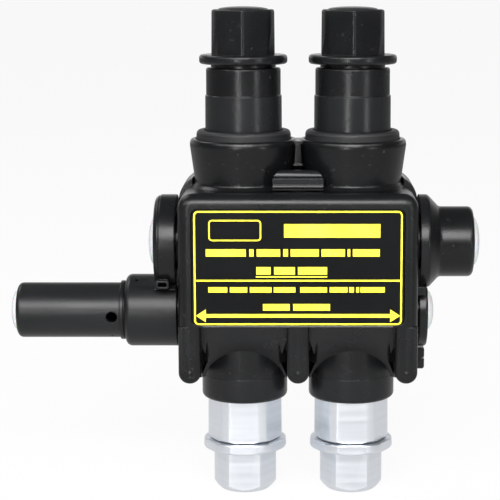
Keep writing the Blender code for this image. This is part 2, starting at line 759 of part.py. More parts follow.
def make_snap():
    """The notched snap at the lower right edge of the rear cover."""
    start = COVER_HALF - BITE
    end = COVER_HALF + SNAP_REACH
    low = SNAP_MIDDLE - SNAP_HEIGHT / 2
    high = SNAP_MIDDLE + SNAP_HEIGHT / 2
    outline = [
        (start, low),
        (end - SNAP_NOTCH / 2, low),
        (end, low + SNAP_NOTCH),
        (end, SNAP_MIDDLE - SNAP_NOTCH / 2),
        (end - SNAP_NOTCH, SNAP_MIDDLE),
        (end, SNAP_MIDDLE + SNAP_NOTCH / 2),
        (end, high - SNAP_NOTCH),
        (end - SNAP_NOTCH / 2, high),
        (start, high),
    ]
    return blank("snap", prism(outline, BITE, BITE + SNAP_DEPTH))


def make_contact_body(finish):
    front, rear = body_section(0)
    half = BODY_LENGTH / 2
    body = blank("body_bar", prism(front + rear, -half, half, "YZ"))
    main = rounded(
        box_outline(-MAIN_TUNNEL_WIDTH / 2, -MAIN_TUNNEL_FLOOR, MAIN_TUNNEL_WIDTH / 2, TUNNEL_TOP),
        [BITE] * 4, 2,
    )
    roof = HOUSE_TUNNEL_ROOF - PORT_DROP
    house = rounded(
        box_outline(-HOUSE_TUNNEL_WIDTH / 2, TUNNEL_BOTTOM, HOUSE_TUNNEL_WIDTH / 2, roof),
        [BITE] * 4, 2,
    )
    long = half + BITE
    cut(body, blank("main_tunnel", prism(main, -long, long, "YZ")))
    cut(body, blank("house_tunnel", prism(house, -long, long, "YZ")))
    seat = PLATE_WIDTH / 2 + CLEARANCE
    groove = box_outline(-seat, -MAIN_TUNNEL_FLOOR - PLATE_SEAT, seat, BITE - MAIN_TUNNEL_FLOOR)
    cut(body, blank("plate_groove", prism(groove, -long, long, "YZ")))
    for _, side in SIDES:
        place = (side * BOLT_X, 0, 0)
        upper = BUSH_SPIGOT + CLEARANCE
        lower = HOUSE_BUSH_SPIGOT + CLEARANCE
        cut(body, cylinder("upper_hole", upper, TUNNEL_TOP - BITE, BODY_TOP + BITE, INNER_STEPS, spot=place))
        low = BODY_BOTTOM - BITE
        cut(body, cylinder("lower_hole", lower, low, TUNNEL_BOTTOM + BITE, INNER_STEPS, spot=place))
    return put("contact_body", finished(body), finish)


def make_piercing_plate(finish):
    """A strip whose top is a row of teeth across the main conductor."""
    base = -MAIN_TUNNEL_FLOOR - PLATE_SEAT + CLEARANCE
    root = base + PLATE_BASE
    half = TEETH * TOOTH_PITCH / 2
    outline = [(-half, base), (half, base)]
    for tooth in range(TEETH, 0, -1):
        end = -half + tooth * TOOTH_PITCH
        outline.append((end, root))
        outline.append((end - TOOTH_PITCH / 2, root + TOOTH_HEIGHT))
    outline.append((-half, root))
    plate = blank("plate", prism(outline, -PLATE_WIDTH / 2, PLATE_WIDTH / 2))
    return put("piercing_plate", finished(plate), finish)


def make_saddle(name, opening, thickness, width, facing):
    """A pad with a groove for the conductor on one side and a socket for the bolt on the other."""
    half = SADDLE_LENGTH / 2
    section = [
        (-width / 2, thickness),
        (-width / 2, 0),
        (-GROOVE_WIDTH / 2, 0),
        (0, GROOVE_DEPTH),
        (GROOVE_WIDTH / 2, 0),
        (width / 2, 0),
        (width / 2, thickness),
    ]
    placed = [(y, facing * (opening + z)) for y, z in section]
    pad = blank(name, prism(placed, -half, half, "YZ"))
    top = opening + thickness
    ends = sorted((facing * (top - SOCKET_DEPTH), facing * (top + BITE)))
    return cut(pad, cylinder("socket", TIP_RADIUS + CLEARANCE, *ends, INNER_STEPS))


def make_main_screw():
    foot = TUNNEL_TOP
    tip = foot - SOCKET_DEPTH
    points = [
        (0, SCREW_SHOULDER + BITE),
        (SCREW_RADIUS, SCREW_SHOULDER + BITE),
        (SCREW_RADIUS, foot),
        (TIP_RADIUS, foot),
        (TIP_RADIUS, tip),
        (0, tip),
    ]
    shank = turned("screw_shank", points, INNER_STEPS)
    drive = prism(hexagon(SCREW_DRIVE), SCREW_SHOULDER, SCREW_SHOULDER + SCREW_DRIVE_LENGTH, "XY")
    return join(shank, blank("screw_drive", drive))


def make_bolt_cap():
    """The insulating cap: barrel, shear neck, flange and a six-sided head."""
    flange_low = HEAD_BASE - HEAD_FLANGE_HEIGHT
    points = [
        (0, HEAD_BASE + BITE / 2),
        (HEAD_DISC, HEAD_BASE + BITE / 2),
        (HEAD_DISC, HEAD_BASE),
        (HEAD_FLANGE - FLANGE_EDGE, HEAD_BASE),
        (HEAD_FLANGE - FLANGE_EDGE / 4, HEAD_BASE - FLANGE_EDGE / 2),
        (HEAD_FLANGE, flange_low + FLANGE_EDGE),
        (HEAD_FLANGE - FLANGE_EDGE * 3 / 4, flange_low),
        (SHEAR_NECK, flange_low),
        (SHEAR_NECK, BARREL_TOP),
        (BARREL_NECK - BARREL_EDGE, BARREL_TOP),
        (BARREL_NECK, BARREL_TOP - BARREL_EDGE),
        (BARREL_NECK, BARREL_STEP),
        (BARREL_RADIUS, BARREL_STEP - BARREL_EDGE),
        (BARREL_RADIUS, BARREL_FOOT),
        (0, BARREL_FOOT),
    ]
    cap = turned("cap_barrel", points)
    side = HEAD_SIDE_TRIM
    front = HEAD_FRONT_TRIM
    outline = trimmed(hexagon(HEAD_FLATS, math.radians(30)), [side, front, side, side, front, side])
    head = prism(outline, HEAD_BASE - BITE / 2, HEAD_TOP, "XY")

    def on_top(one, other):
        return near(one.z, HEAD_TOP) and near(other.z, HEAD_TOP)

    roll_edges(head, on_top, HEAD_CHAMFER, 1)
    disc = cylinder("head_disc", HEAD_DISC, HEAD_TOP - BITE, HEAD_TOP + HEAD_DISC_HEIGHT, FINE_STEPS)
    join(cap, blank("cap_head", head), disc)
    bore = cylinder("cap_bore", SCREW_RADIUS + CLEARANCE, BARREL_FOOT - BITE, SCREW_SHOULDER, INNER_STEPS)
    pocket_low = SCREW_SHOULDER - CLEARANCE
    pocket_high = SCREW_SHOULDER + SCREW_DRIVE_LENGTH + CLEARANCE
    pocket = prism(hexagon(SCREW_DRIVE + 2 * CLEARANCE), pocket_low, pocket_high, "XY")
    return cut(cap, bore, blank("cap_pocket", pocket))


def make_bush(radius, spigot, bore, top, foot, spigot_end):
    """A stepped threaded bush, with its spigot in the contact body's wall."""
    up = spigot_end > top
    if up:
        points = [
            (spigot, spigot_end), (spigot, top), (radius, top), (radius, foot),
            (bore, foot), (bore, spigot_end),
        ]
    else:
        points = [
            (radius, top), (radius, foot), (spigot, foot), (spigot, spigot_end),
            (bore, spigot_end), (bore, top),
        ]
    return turned("bush", points, FINE_STEPS)


def make_seal_ring():
    foot = CUP_RIM - RING_SEAT + CLEARANCE
    top = CUP_RIM + RING_PROUD
    bore = BARREL_RADIUS + CLEARANCE
    points = [
        (RING_RADIUS - CUP_EDGE, top),
        (RING_RADIUS - CUP_EDGE / 4, top - CUP_EDGE / 3),
        (RING_RADIUS, top - CUP_EDGE),
        (RING_RADIUS, foot),
        (bore, foot),
        (bore, top - CUP_EDGE / 2),
        (bore + CUP_EDGE / 2, top),
    ]
    return turned("seal_ring", points)


def make_house_bolt():
    """A bolt with a large hexagon, a wide collar and the small hexagon that shears off."""
    tip = TUNNEL_BOTTOM + SOCKET_DEPTH
    shank = turned("bolt_shank", [
        (0, tip),
        (TIP_RADIUS, tip),
        (TIP_RADIUS, TUNNEL_BOTTOM),
        (SHANK_RADIUS, TUNNEL_BOTTOM),
        (SHANK_RADIUS, LARGE_TOP - BITE),
        (0, LARGE_TOP - BITE),
    ], FINE_STEPS)
    large = blank("large_hexagon", prism(hexagon(LARGE_FLATS), LARGE_FOOT, LARGE_TOP, "XY"))
    corner = LARGE_CORNERS / 2
    flat = LARGE_FLATS / 2
    common(large, turned("large_turning", [
        (0, LARGE_TOP), (flat - LARGE_SHOULDER, LARGE_TOP), (corner, LARGE_TOP - LARGE_SHOULDER * 3 / 2),
        (corner, LARGE_FOOT + LARGE_SHOULDER), (flat, LARGE_FOOT), (0, LARGE_FOOT),
    ]))
    collar = blank("collar_hexagon", prism(hexagon(COLLAR_FLATS), COLLAR_FOOT, COLLAR_TOP, "XY"))
    corner = COLLAR_CORNERS / 2
    common(collar, turned("collar_turning", [
        (0, COLLAR_TOP), (corner, COLLAR_TOP), (corner, COLLAR_FOOT + COLLAR_ROUNDING),
        (COLLAR_FLATS / 2 - COLLAR_ROUNDING / 2, COLLAR_FOOT), (0, COLLAR_FOOT),
    ]))
    small = blank("small_hexagon", prism(hexagon(SMALL_FLATS), SMALL_FOOT, SMALL_TOP, "XY"))
    corner = SMALL_FLATS / math.sqrt(3)
    common(small, turned("small_turning", [
        (0, SMALL_TOP), (corner, SMALL_TOP), (corner, SMALL_FOOT + SMALL_CHAMFER),
        (corner - SMALL_CHAMFER, SMALL_FOOT), (0, SMALL_FOOT),
    ]))
    core = cylinder("bolt_core", CORE_RADIUS, SMALL_TOP - BITE, LARGE_FOOT + BITE, FINE_STEPS)
    return join(shank, large, collar, small, core)


def rounded_end(radius, end, edge):
    """The rounded outer edge of a turned piece, as the last points of its outline."""
    points = []
    for step in range(EDGE_STEPS + 1):
        angle = math.pi / 2 * step / EDGE_STEPS
        points.append((radius - edge * (1 - math.cos(angle)), end - edge * (1 - math.sin(angle))))
    return points


def make_gland(outer, bore, spigot_radius, seat_radius, seat_depth):
    """A gland about its own axis: outer is its turned outline from the flange out to the end."""
    end = outer[-1][1]
    return outer[::-1] + [
        (spigot_radius, PORT_FACE),
        (spigot_radius, SPIGOT_START),
        (bore, SPIGOT_START),
        (bore, end - seat_depth),
        (seat_radius, end - seat_depth),
        (seat_radius, end),
    ]


def dome_outline(radius, base, dome):
    """A shallow dome from its middle down to its rim, as a quarter of an ellipse."""
    points = []
    for step in range(DOME_STEPS + 1):
        angle = math.pi / 2 * step / DOME_STEPS
        points.append((radius * math.sin(angle), base + dome * math.cos(angle)))
    return points


def make_seal(radius, end, dome, seat):
    """A domed membrane seal, set in the end of a port."""
    inside = radius - SEAL_WALL
    foot = end - seat + CLEARANCE
    hollow = dome_outline(inside, end - SEAL_WALL, dome)
    return dome_outline(radius, end, dome) + [(radius, foot), (inside, foot)] + hollow[::-1]


def port_parting(above):
    """Cuts flat the flange that would reach its neighbour, above or below the parting height."""
    far = PORT_FACE + LEFT_GLAND_LENGTH + CLEARANCE
    if above:
        low, high = PARTING - CLEARANCE / 2, GLAND_RADIUS
    else:
        low, high = -PORT_DROP, PARTING + CLEARANCE / 2
        far = 2 * far
    return blank("parting", prism(box_outline(-far, low, far, high), -GLAND_RADIUS, GLAND_RADIUS))


def make_hook():
    """The small hook at the foot of the left main gland, just above the house collar."""
    start = -PORT_FACE - HOOK_START
    low = PARTING + CLEARANCE * 2 / 3
    outline = box_outline(start - HOOK_LENGTH, low, start, low + HOOK_HEIGHT)
    return blank("hook", prism(outline, -HOOK_FRONT, HOOK_DEPTH - HOOK_FRONT))


def make_ports(body_finish, seal_finish):
    face = PORT_FACE
    left_end = face + LEFT_GLAND_LENGTH
    left = [(GLAND_RADIUS, face)] + rounded_end(GLAND_RADIUS, left_end, GLAND_EDGE)
    right_end = face + RIGHT_FLANGE + RIGHT_CONE + RIGHT_BOSS_LENGTH
    right = [
        (GLAND_RADIUS, face),
        (GLAND_RADIUS, face + RIGHT_FLANGE),
        (RIGHT_BOSS_RADIUS, face + RIGHT_FLANGE + RIGHT_CONE),
    ] + rounded_end(RIGHT_BOSS_RADIUS, right_end, BOSS_EDGE)
    seat = SEAL_RADIUS + CLEARANCE
    for word, side, outline in (("left", "-X", left), ("right", "+X", right)):
        points = make_gland(outline, MAIN_BORE, SPIGOT_RADIUS, seat, SEAL_SEAT)
        gland = cut(turned("gland", points, axis=side), port_parting(False))
        if word == "left":
            join(gland, make_hook())
        put(f"main_gland_{word}", finished(gland), body_finish)
        seal = make_seal(SEAL_RADIUS, outline[-1][1], SEAL_DOME, SEAL_SEAT)
        put(f"main_seal_{word}", finished(turned("seal", seal, FINE_STEPS, side)), seal_finish)

    low = (0, 0, -PORT_DROP)
    disc_end = face + HOUSE_GLAND_LENGTH
    disc = [
        (HOUSE_GLAND_RADIUS, face),
        (HOUSE_GLAND_RADIUS, disc_end - CUP_EDGE),
        (HOUSE_GLAND_RADIUS - CUP_EDGE, disc_end),
    ]
    seat = HOUSE_SEAL_RADIUS + CLEARANCE
    points = make_gland(disc, HOUSE_BORE, HOUSE_SPIGOT_RADIUS, seat, SEAL_SEAT)
    gland = cut(turned("gland", points, axis="+X", spot=low), port_parting(True))
    put("house_gland_right", finished(gland), body_finish)
    seal = make_seal(HOUSE_SEAL_RADIUS, disc_end, HOUSE_SEAL_DOME, SEAL_SEAT)
    put("house_seal_right", finished(turned("seal", seal, FINE_STEPS, "+X", low)), seal_finish)

    collar_end = face + COLLAR_LENGTH + COLLAR_STEP
    collar = [(COLLAR_RADIUS, face)] + rounded_end(COLLAR_RADIUS, face + COLLAR_LENGTH, COLLAR_EDGE)
    collar += [(COLLAR_STEP_RADIUS, face + COLLAR_LENGTH), (COLLAR_STEP_RADIUS, collar_end)]
    sleeve_start = left_end + 2 * CLEARANCE
    depth = collar_end - sleeve_start + CLEARANCE
    seat = SLEEVE_RADIUS + CLEARANCE
    points = make_gland(collar, HOUSE_BORE, HOUSE_SPIGOT_RADIUS, seat, depth)
    gland = cut(turned("gland", points, axis="-X", spot=low), port_parting(True))
    put("house_collar", finished(gland), body_finish)

    end = sleeve_start + SLEEVE_LENGTH
    inside = HOUSE_SEAL_RADIUS + CLEARANCE
    points = rounded_end(SLEEVE_RADIUS, end, SLEEVE_EDGE)[::-1] + [
        (SLEEVE_RADIUS, sleeve_start),
        (HOUSE_BORE, sleeve_start),
        (HOUSE_BORE, end - SEAL_SEAT),
        (inside, end - SEAL_SEAT),
        (inside, end),
    ]
    sleeve = turned("sleeve", points, axis="-X", spot=low)
    hole = bmesh.new()
    place = Matrix.Translation((-face - SLEEVE_HOLE_REACH, -SLEEVE_RADIUS, -PORT_DROP - SLEEVE_HOLE_DROP))
    bmesh.ops.create_cone(
        hole, cap_ends=True, segments=INNER_STEPS, radius1=SLEEVE_HOLE, radius2=SLEEVE_HOLE,
        depth=2 * SLEEVE_RADIUS, matrix=place @ Matrix.Rotation(math.pi / 2, 4, "X"),
    )
    cut(sleeve, blank("sleeve_hole", hole))
    put("house_sleeve", finished(sleeve), body_finish)
    seal = make_seal(HOUSE_SEAL_RADIUS, end, SLEEVE_SEAL_DOME, SEAL_SEAT)
    put("house_seal_left", finished(turned("seal", seal, FINE_STEPS, "-X", low)), seal_finish)


def make_main_bolts(cap_finish, ring_finish, screw_finish, bush_finish, saddle_finish):
    cap = finished(make_bolt_cap())
    ring = finished(make_seal_ring())
    screw = finished(make_main_screw())
    foot = BODY_TOP + CLEARANCE
    bush = finished(make_bush(BUSH_RADIUS, BUSH_SPIGOT, SCREW_RADIUS + CLEARANCE, BUSH_TOP, foot,
                              TUNNEL_TOP + CLEARANCE))
    width = MAIN_TUNNEL_WIDTH - 2 * PLAY
    saddle = finished(make_saddle("main_pad", MAIN_OPENING, MAIN_SADDLE, width, 1))
    for word, side in SIDES:
        place = (side * BOLT_X, 0, 0)
        put(f"main_bolt_cap_{word}", cap, cap_finish, place)
        put(f"main_seal_ring_{word}", ring, ring_finish, place)
        put(f"main_screw_{word}", screw, screw_finish, place)
        put(f"main_bush_{word}", bush, bush_finish, place)
        put(f"main_saddle_{word}", saddle, saddle_finish, place)


def make_house_bolts(bolt_finish, bush_finish, saddle_finish):
    bolt = finished(make_house_bolt())
    bush = finished(make_bush(HOUSE_BUSH_RADIUS, HOUSE_BUSH_SPIGOT, SHANK_RADIUS + CLEARANCE,
                              BODY_BOTTOM - CLEARANCE, HOUSE_BUSH_FOOT, TUNNEL_BOTTOM - CLEARANCE))
    width = HOUSE_TUNNEL_WIDTH - 2 * PLAY
    opening = PORT_DROP + HOUSE_OPENING
    saddle = finished(make_saddle("house_pad", opening, HOUSE_SADDLE, width, -1))
    for word, side in SIDES:
        place = (side * BOLT_X, 0, 0)
        put(f"house_bolt_{word}", bolt, bolt_finish, place)
        put(f"house_bush_{word}", bush, bush_finish, place)
        put(f"house_saddle_{word}", saddle, saddle_finish, place)


for old in list(bpy.data.objects):
    bpy.data.objects.remove(old)

PARTS = make_collection("service_connector")
CUTTERS = make_collection("cutters")
CUTTERS.hide_render = True

black = make_finish("black_moulding", (0.013, 0.013, 0.014), 0.42)
rubber = make_finish("black_seal_rubber", (0.016, 0.016, 0.016), 0.6)
label_black = make_finish("label_film", (0.018, 0.019, 0.02), 0.45)
membrane = make_finish("seal_membrane", (0.78, 0.8, 0.82), 0.35)
aluminium = make_finish("turned_aluminium", (0.82, 0.84, 0.87), 0.3, 1.0)
body_metal = make_finish("contact_aluminium", (0.7, 0.71, 0.73), 0.4, 1.0)
tinned = make_finish("tinned_copper", (0.75, 0.74, 0.7), 0.35, 1.0)
steel = make_finish("zinc_steel", (0.62, 0.64, 0.66), 0.35, 1.0)

make_housing(black)
make_rear_cover(black)
make_label(label_black)
make_top_clip(black)
make_contact_body(body_metal)
make_piercing_plate(tinned)
make_ports(black, membrane)
make_main_bolts(black, rubber, steel, steel, body_metal)
make_house_bolts(aluminium, steel, body_metal)
for tool in list(CUTTERS.objects):
    bpy.data.objects.remove(tool)
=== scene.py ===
"""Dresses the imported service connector: mouldings, bolts, port seals, label print and finishes."""

import math

import bmesh
import bpy
from bpy.props import FloatProperty, FloatVectorProperty, PointerProperty
from mathutils import Matrix, Vector


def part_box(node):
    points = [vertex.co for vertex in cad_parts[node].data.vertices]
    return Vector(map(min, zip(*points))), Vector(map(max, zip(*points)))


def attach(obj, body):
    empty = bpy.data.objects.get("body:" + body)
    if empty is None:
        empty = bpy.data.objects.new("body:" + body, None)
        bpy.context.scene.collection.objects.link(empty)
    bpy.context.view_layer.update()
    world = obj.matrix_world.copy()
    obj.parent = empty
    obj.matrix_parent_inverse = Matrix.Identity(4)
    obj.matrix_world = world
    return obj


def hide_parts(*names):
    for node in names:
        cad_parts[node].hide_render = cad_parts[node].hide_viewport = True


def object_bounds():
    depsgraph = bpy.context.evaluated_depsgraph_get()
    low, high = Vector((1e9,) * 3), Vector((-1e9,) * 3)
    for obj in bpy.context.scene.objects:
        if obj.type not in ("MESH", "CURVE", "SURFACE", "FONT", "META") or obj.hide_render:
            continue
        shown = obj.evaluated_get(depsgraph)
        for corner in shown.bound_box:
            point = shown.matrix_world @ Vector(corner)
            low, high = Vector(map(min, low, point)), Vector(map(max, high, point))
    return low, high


bl_info = {
    "name": "Service connector",
    "version": (1, 0, 0),
    "blender": (4, 5, 0),
    "location": "View3D > Sidebar > Connector",
    "description": "Builds the visible pieces of a service connector on its packed model",
    "category": "Object",
}

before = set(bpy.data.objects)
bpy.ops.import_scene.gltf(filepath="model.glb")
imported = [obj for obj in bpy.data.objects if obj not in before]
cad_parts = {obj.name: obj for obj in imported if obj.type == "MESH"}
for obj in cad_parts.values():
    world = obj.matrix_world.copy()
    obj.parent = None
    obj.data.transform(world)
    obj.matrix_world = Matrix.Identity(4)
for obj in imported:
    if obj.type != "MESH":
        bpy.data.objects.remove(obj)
CAD_LOW, CAD_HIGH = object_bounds()

MM = 0.001
NEAR = 0.00001
STEPS = 72
BITE = 1.0 * MM
CLEARANCE = 0.3 * MM
SMOOTH_ANGLE = math.radians(32)
BOLT_SMOOTH_ANGLE = math.radians(24)
FACE_WEIGHT = 90
FLAT_FORWARD = math.radians(30)
BODY = "connector_body"
SIDES = (("left", -1), ("right", 1))

# Widths across the flats of the hexagons
CAP_HEAD_FLATS = 14.6 * MM
SCREW_POCKET_FLATS = 11.6 * MM
LARGE_FLATS = 16.5 * MM
COLLAR_FLATS = 19 * MM
SMALL_FLATS = 13 * MM

# Radii of the bore, the spigot and the seat of the seal, for the two kinds of port
MAIN_PORT = (5.8 * MM, 6.7 * MM, 6.5 * MM)
HOUSE_PORT = (4.9 * MM, 5.7 * MM, 5.4 * MM)
SEAL_DEPTH = 3 * MM
MAIN_SEAL_RADIUS = 6.2 * MM
HOUSE_SEAL_RADIUS = 5.1 * MM


def low_of(node, axis):
    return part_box(node)[0][axis]


def high_of(node, axis):
    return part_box(node)[1][axis]


def middle_of(node, axis):
    return (low_of(node, axis) + high_of(node, axis)) / 2


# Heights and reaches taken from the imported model
BOLT_X = middle_of("main_bolt_cap_right", 0)
PORT_DROP = -middle_of("house_seal_right", 2)
CUP_RIM = high_of("main_seal_ring_left", 2) - 2.1 * MM
CUP_FOOT = low_of("main_housing", 2)
COVER_REAR = high_of("rear_cover", 1)
COVER_TOP = high_of("rear_cover", 2)
COVER_BOTTOM = low_of("rear_cover", 2)
COVER_HALF = -low_of("rear_cover", 0)
LABEL_LOW = low_of("label_plate", 2)
LABEL_HIGH = high_of("label_plate", 2)
LABEL_HALF = high_of("label_plate", 0)
LABEL_FACE = low_of("label_plate", 1)
PLATE_HALF = LABEL_HALF - 0.3 * MM
PLATE_LOW = LABEL_LOW + 0.4 * MM
PLATE_HIGH = LABEL_HIGH + 0.25 * MM
BODY_TOP = high_of("contact_body", 2)
BODY_BOTTOM = low_of("contact_body", 2)
BODY_HALF = high_of("contact_body", 0)
HOUSING_TOP = CUP_RIM - 11.3 * MM
PORT_FACE = COVER_HALF + CLEARANCE
PARTING = 6.3 * MM - PORT_DROP


class ConnectorSizes(bpy.types.PropertyGroup):
    housing_width: FloatProperty(
        name="Housing width", description="Width of the label side", default=0.0556, unit="LENGTH")
    front_reach: FloatProperty(
        name="Front reach", description="How far the label side stands in front of the bolts",
        default=0.0175, unit="LENGTH")
    ledge_depth: FloatProperty(
        name="Ledge depth", description="Depth of the edge under the label",
        default=0.0175, unit="LENGTH")
    roll_radius: FloatProperty(
        name="Roll radius", description="Rounding round the label", default=0.00255, unit="LENGTH")
    cup_radius: FloatProperty(
        name="Upper cup radius", description="Radius of the upper cups at the rim",
        default=0.01285, unit="LENGTH")
    cup_waist: FloatProperty(
        name="Upper cup waist", description="Radius of the upper cups at their foot",
        default=0.01155, unit="LENGTH")
    lower_cup_radius: FloatProperty(
        name="Lower cup radius", description="Radius of the lower cups",
        default=0.0103, unit="LENGTH")
    finger_width: FloatProperty(
        name="Finger width", description="Width of the three round fingers",
        default=0.0052, unit="LENGTH")
    funnel_slope: FloatProperty(
        name="Funnel slope", description="How far the funnels go back for each length down",
        default=0.887)
    moulding_ease: FloatProperty(
        name="Moulding ease", description="Rounding that the finishes show on moulded edges",
        default=0.0003, unit="LENGTH")
    camera_tilt: FloatProperty(
        name="Camera tilt", description="How far the camera looks down",
        default=math.radians(9.2), subtype="ANGLE", unit="ROTATION")


AS_COLOUR = {"subtype": "COLOR", "size": 3, "min": 0, "max": 1}


class ConnectorColours(bpy.types.PropertyGroup):
    moulding: FloatVectorProperty(
        name="Moulding", description="Colour of the black mouldings",
        default=(0.0036, 0.0039, 0.0041), **AS_COLOUR)
    film: FloatVectorProperty(
        name="Label film", description="Colour of the label",
        default=(0.004, 0.0044, 0.0047), **AS_COLOUR)
    ink: FloatVectorProperty(
        name="Label ink", description="Colour of the print",
        default=(0.95, 0.83, 0.02), **AS_COLOUR)
    rubber: FloatVectorProperty(
        name="Seal rings", description="Colour of the rubber rings",
        default=(0.008, 0.0083, 0.0086), **AS_COLOUR)
    membrane: FloatVectorProperty(
        name="Port seals", description="Colour of the domed seals",
        default=(0.66, 0.68, 0.7), **AS_COLOUR)
    aluminium: FloatVectorProperty(
        name="Aluminium", description="Colour of the bare bolts",
        default=(0.86, 0.89, 0.94), **AS_COLOUR)
    steel: FloatVectorProperty(
        name="Zinc steel", description="Colour of the screws and bushes",
        default=(0.56, 0.58, 0.6), **AS_COLOUR)
    tin: FloatVectorProperty(
        name="Tinned copper", description="Colour of the toothed plate",
        default=(0.7, 0.69, 0.65), **AS_COLOUR)
    floor: FloatVectorProperty(
        name="Floor", description="Colour of the floor",
        default=(0.86, 0.86, 0.86), **AS_COLOUR)


def near(value, target):
    return abs(value - target) < NEAR


def block(low, high):
    """A box between two corners."""
    form = bmesh.new()
    size = [b - a for a, b in zip(low, high)]
    centre = [(a + b) / 2 for a, b in zip(low, high)]
    bmesh.ops.create_cube(
        form, size=1, matrix=Matrix.Translation(centre) @ Matrix.Diagonal((*size, 1)))
    return form


def prism(corners, start, end, along):
    """A few corners made a face and carried along one axis: X, Y or Z."""
    placed = {
        "X": lambda a, b: (start, a, b),
        "Y": lambda a, b: (a, start, b),
        "Z": lambda a, b: (a, b, start),
    }
    form = bmesh.new()
    face = form.faces.new([form.verts.new(placed[along](a, b)) for a, b in corners])
    carried = bmesh.ops.extrude_face_region(form, geom=[face])["geom"]
    moved = [item for item in carried if isinstance(item, bmesh.types.BMVert)]
    shift = Vector((along == "X", along == "Y", along == "Z")) * (end - start)
    bmesh.ops.translate(form, verts=moved, vec=shift)
    bmesh.ops.recalc_face_normals(form, faces=form.faces)
    return form


def edges_at(same="", **places):
    """A test for edges at a given x, y or z, whose two ends agree in the axes named in same."""
    def chosen(a, b):
        placed = all(near(getattr(end, axis), at) for end in (a, b) for axis, at in places.items())
        return placed and all(near(getattr(a, axis), getattr(b, axis)) for axis in same)

    return chosen


def front_rim(front, open_height):
    """A test for the edges round a front face, but for the one at its open height."""
    on_face, on_opening = edges_at(y=front), edges_at(z=open_height)
    return lambda a, b: on_face(a, b) and not on_opening(a, b)


def ease(form, chosen, radius, segments=4):
    """Rounds the edges whose two end points pass the test."""
    picked = [edge for edge in form.edges if chosen(*(vert.co for vert in edge.verts))]
    bmesh.ops.bevel(
        form, geom=picked, offset=radius, offset_type="OFFSET", segments=segments,
        profile=0.5, affect="EDGES", material=-1, clamp_overlap=True)
    return form


def spun(profile):
    """A round piece about Z from (radius, height) points, some with a rounding, outside first."""
    form = bmesh.new()
    verts = [form.verts.new((point[0], 0, point[1])) for point in profile]
    edges = [form.edges.new(pair) for pair in zip(verts, verts[1:])]
    if profile[0][0] > 0:
        edges.append(form.edges.new((verts[-1], verts[0])))
    bmesh.ops.spin(
        form, geom=verts + edges, cent=(0, 0, 0), axis=(0, 0, 1), dvec=(0, 0, 0),
        angle=2 * math.pi, steps=STEPS, use_merge=True, use_duplicate=False)
    bmesh.ops.remove_doubles(form, verts=form.verts, dist=NEAR / 2)
    bmesh.ops.recalc_face_normals(form, faces=form.faces)
    for point in profile:
        if len(point) == 3:
            radius, height, rounding = point

            def on_ring(one, other):
                return all(near(v.z, height) and near(v.xy.length, radius) for v in (one, other))

            ease(form, on_ring, rounding)
    return form


def rod(radius, high, low):
    """A plain round bar about Z, for bores and cores."""
    return spun([(0, high), (radius, high), (radius, low), (0, low)])


def moved(form, place=(0, 0, 0), axis="Z"):
    """Turns a piece made about Z to another axis, and then carries it to its place."""
    turn = {"Z": 0, "+X": math.pi / 2, "-X": -math.pi / 2}[axis]
    bmesh.ops.transform(
        form, verts=form.verts,
        matrix=Matrix.Translation(place) @ Matrix.Rotation(turn, 4, "Y"))
    return form


def hexagon(flats, low, high, turn=0.0):
    """A six-sided bar about Z. With no turn, two corners point to the front and the back."""
    form = bmesh.new()
    reach = flats / math.sqrt(3)
    place = Matrix.Translation((0, 0, (low + high) / 2)) @ Matrix.Rotation(turn, 4, "Z")
    bmesh.ops.create_cone(
        form, cap_ends=True, cap_tris=False, segments=6, radius1=reach, radius2=reach,
        depth=high - low, matrix=place)
    return form


def as_object(name, form):
    mesh = bpy.data.meshes.new(name)
    form.to_mesh(mesh)
    form.free()
    made = bpy.data.objects.new(name, mesh)
    bpy.context.scene.collection.objects.link(made)
    return made


def carve(form, tools, operation="DIFFERENCE"):
    """Cuts, joins or intersects a form with tool forms, and gives back the result as a form."""
    base = as_object("carved", form)
    helpers = [as_object("carver", tool) for tool in tools]
    for helper in helpers:
        step = base.modifiers.new("Carve", "BOOLEAN")
        step.operation = operation
        step.solver = "EXACT"
        step.object = helper
    graph = bpy.context.evaluated_depsgraph_get()
    mesh = bpy.data.meshes.new_from_object(base.evaluated_get(graph))
    result = bmesh.new()
    result.from_mesh(mesh)
    bpy.data.meshes.remove(mesh)
    for done in [base, *helpers]:
        old = done.data
        bpy.data.objects.remove(done)
        bpy.data.meshes.remove(old)
    bmesh.ops.remove_doubles(result, verts=result.verts, dist=NEAR / 10)
    return result


def gather(forms):
    """Several closed forms kept side by side in one mesh."""
    whole = bmesh.new()
    for form in forms:
        mesh = bpy.data.meshes.new("part")
        form.to_mesh(mesh)
        form.free()
        whole.from_mesh(mesh)
        bpy.data.meshes.remove(mesh)
    return whole


def dress(piece, finish, body):
    """Gives a piece its finish and the body that it rides on."""
    piece.data.materials.append(bpy.data.materials[finish])
    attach(piece, body)


def put(name, form, finish, node, body=BODY, smooth=SMOOTH_ANGLE):
    """Makes a finished piece that rides on a body and stands for a node."""
    piece = as_object(name, form)
    piece.data.shade_smooth()
    piece.data.set_sharp_from_angle(angle=smooth)
    even = piece.modifiers.new("Even normals", "WEIGHTED_NORMAL")
    even.keep_sharp = True
    even.weight = FACE_WEIGHT
    rough = piece.data
    graph = bpy.context.evaluated_depsgraph_get()
    piece.data = bpy.data.meshes.new_from_object(piece.evaluated_get(graph))
    piece.data.name = name
    piece.modifiers.clear()
    bpy.data.meshes.remove(rough)
    dress(piece, finish, body)
    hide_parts(node)


# Finishes

def set_inputs(node, values):
    """Sets plain values on a node's input sockets, by name or number."""
    for socket, value in (values or {}).items():
        node.inputs[socket].default_value = value
    return node


def node_in(tree, kind, values=None, **settings):
    made = tree.nodes.new(kind)
    for name, value in settings.items():
        setattr(made, name, value)
    return set_inputs(made, values)


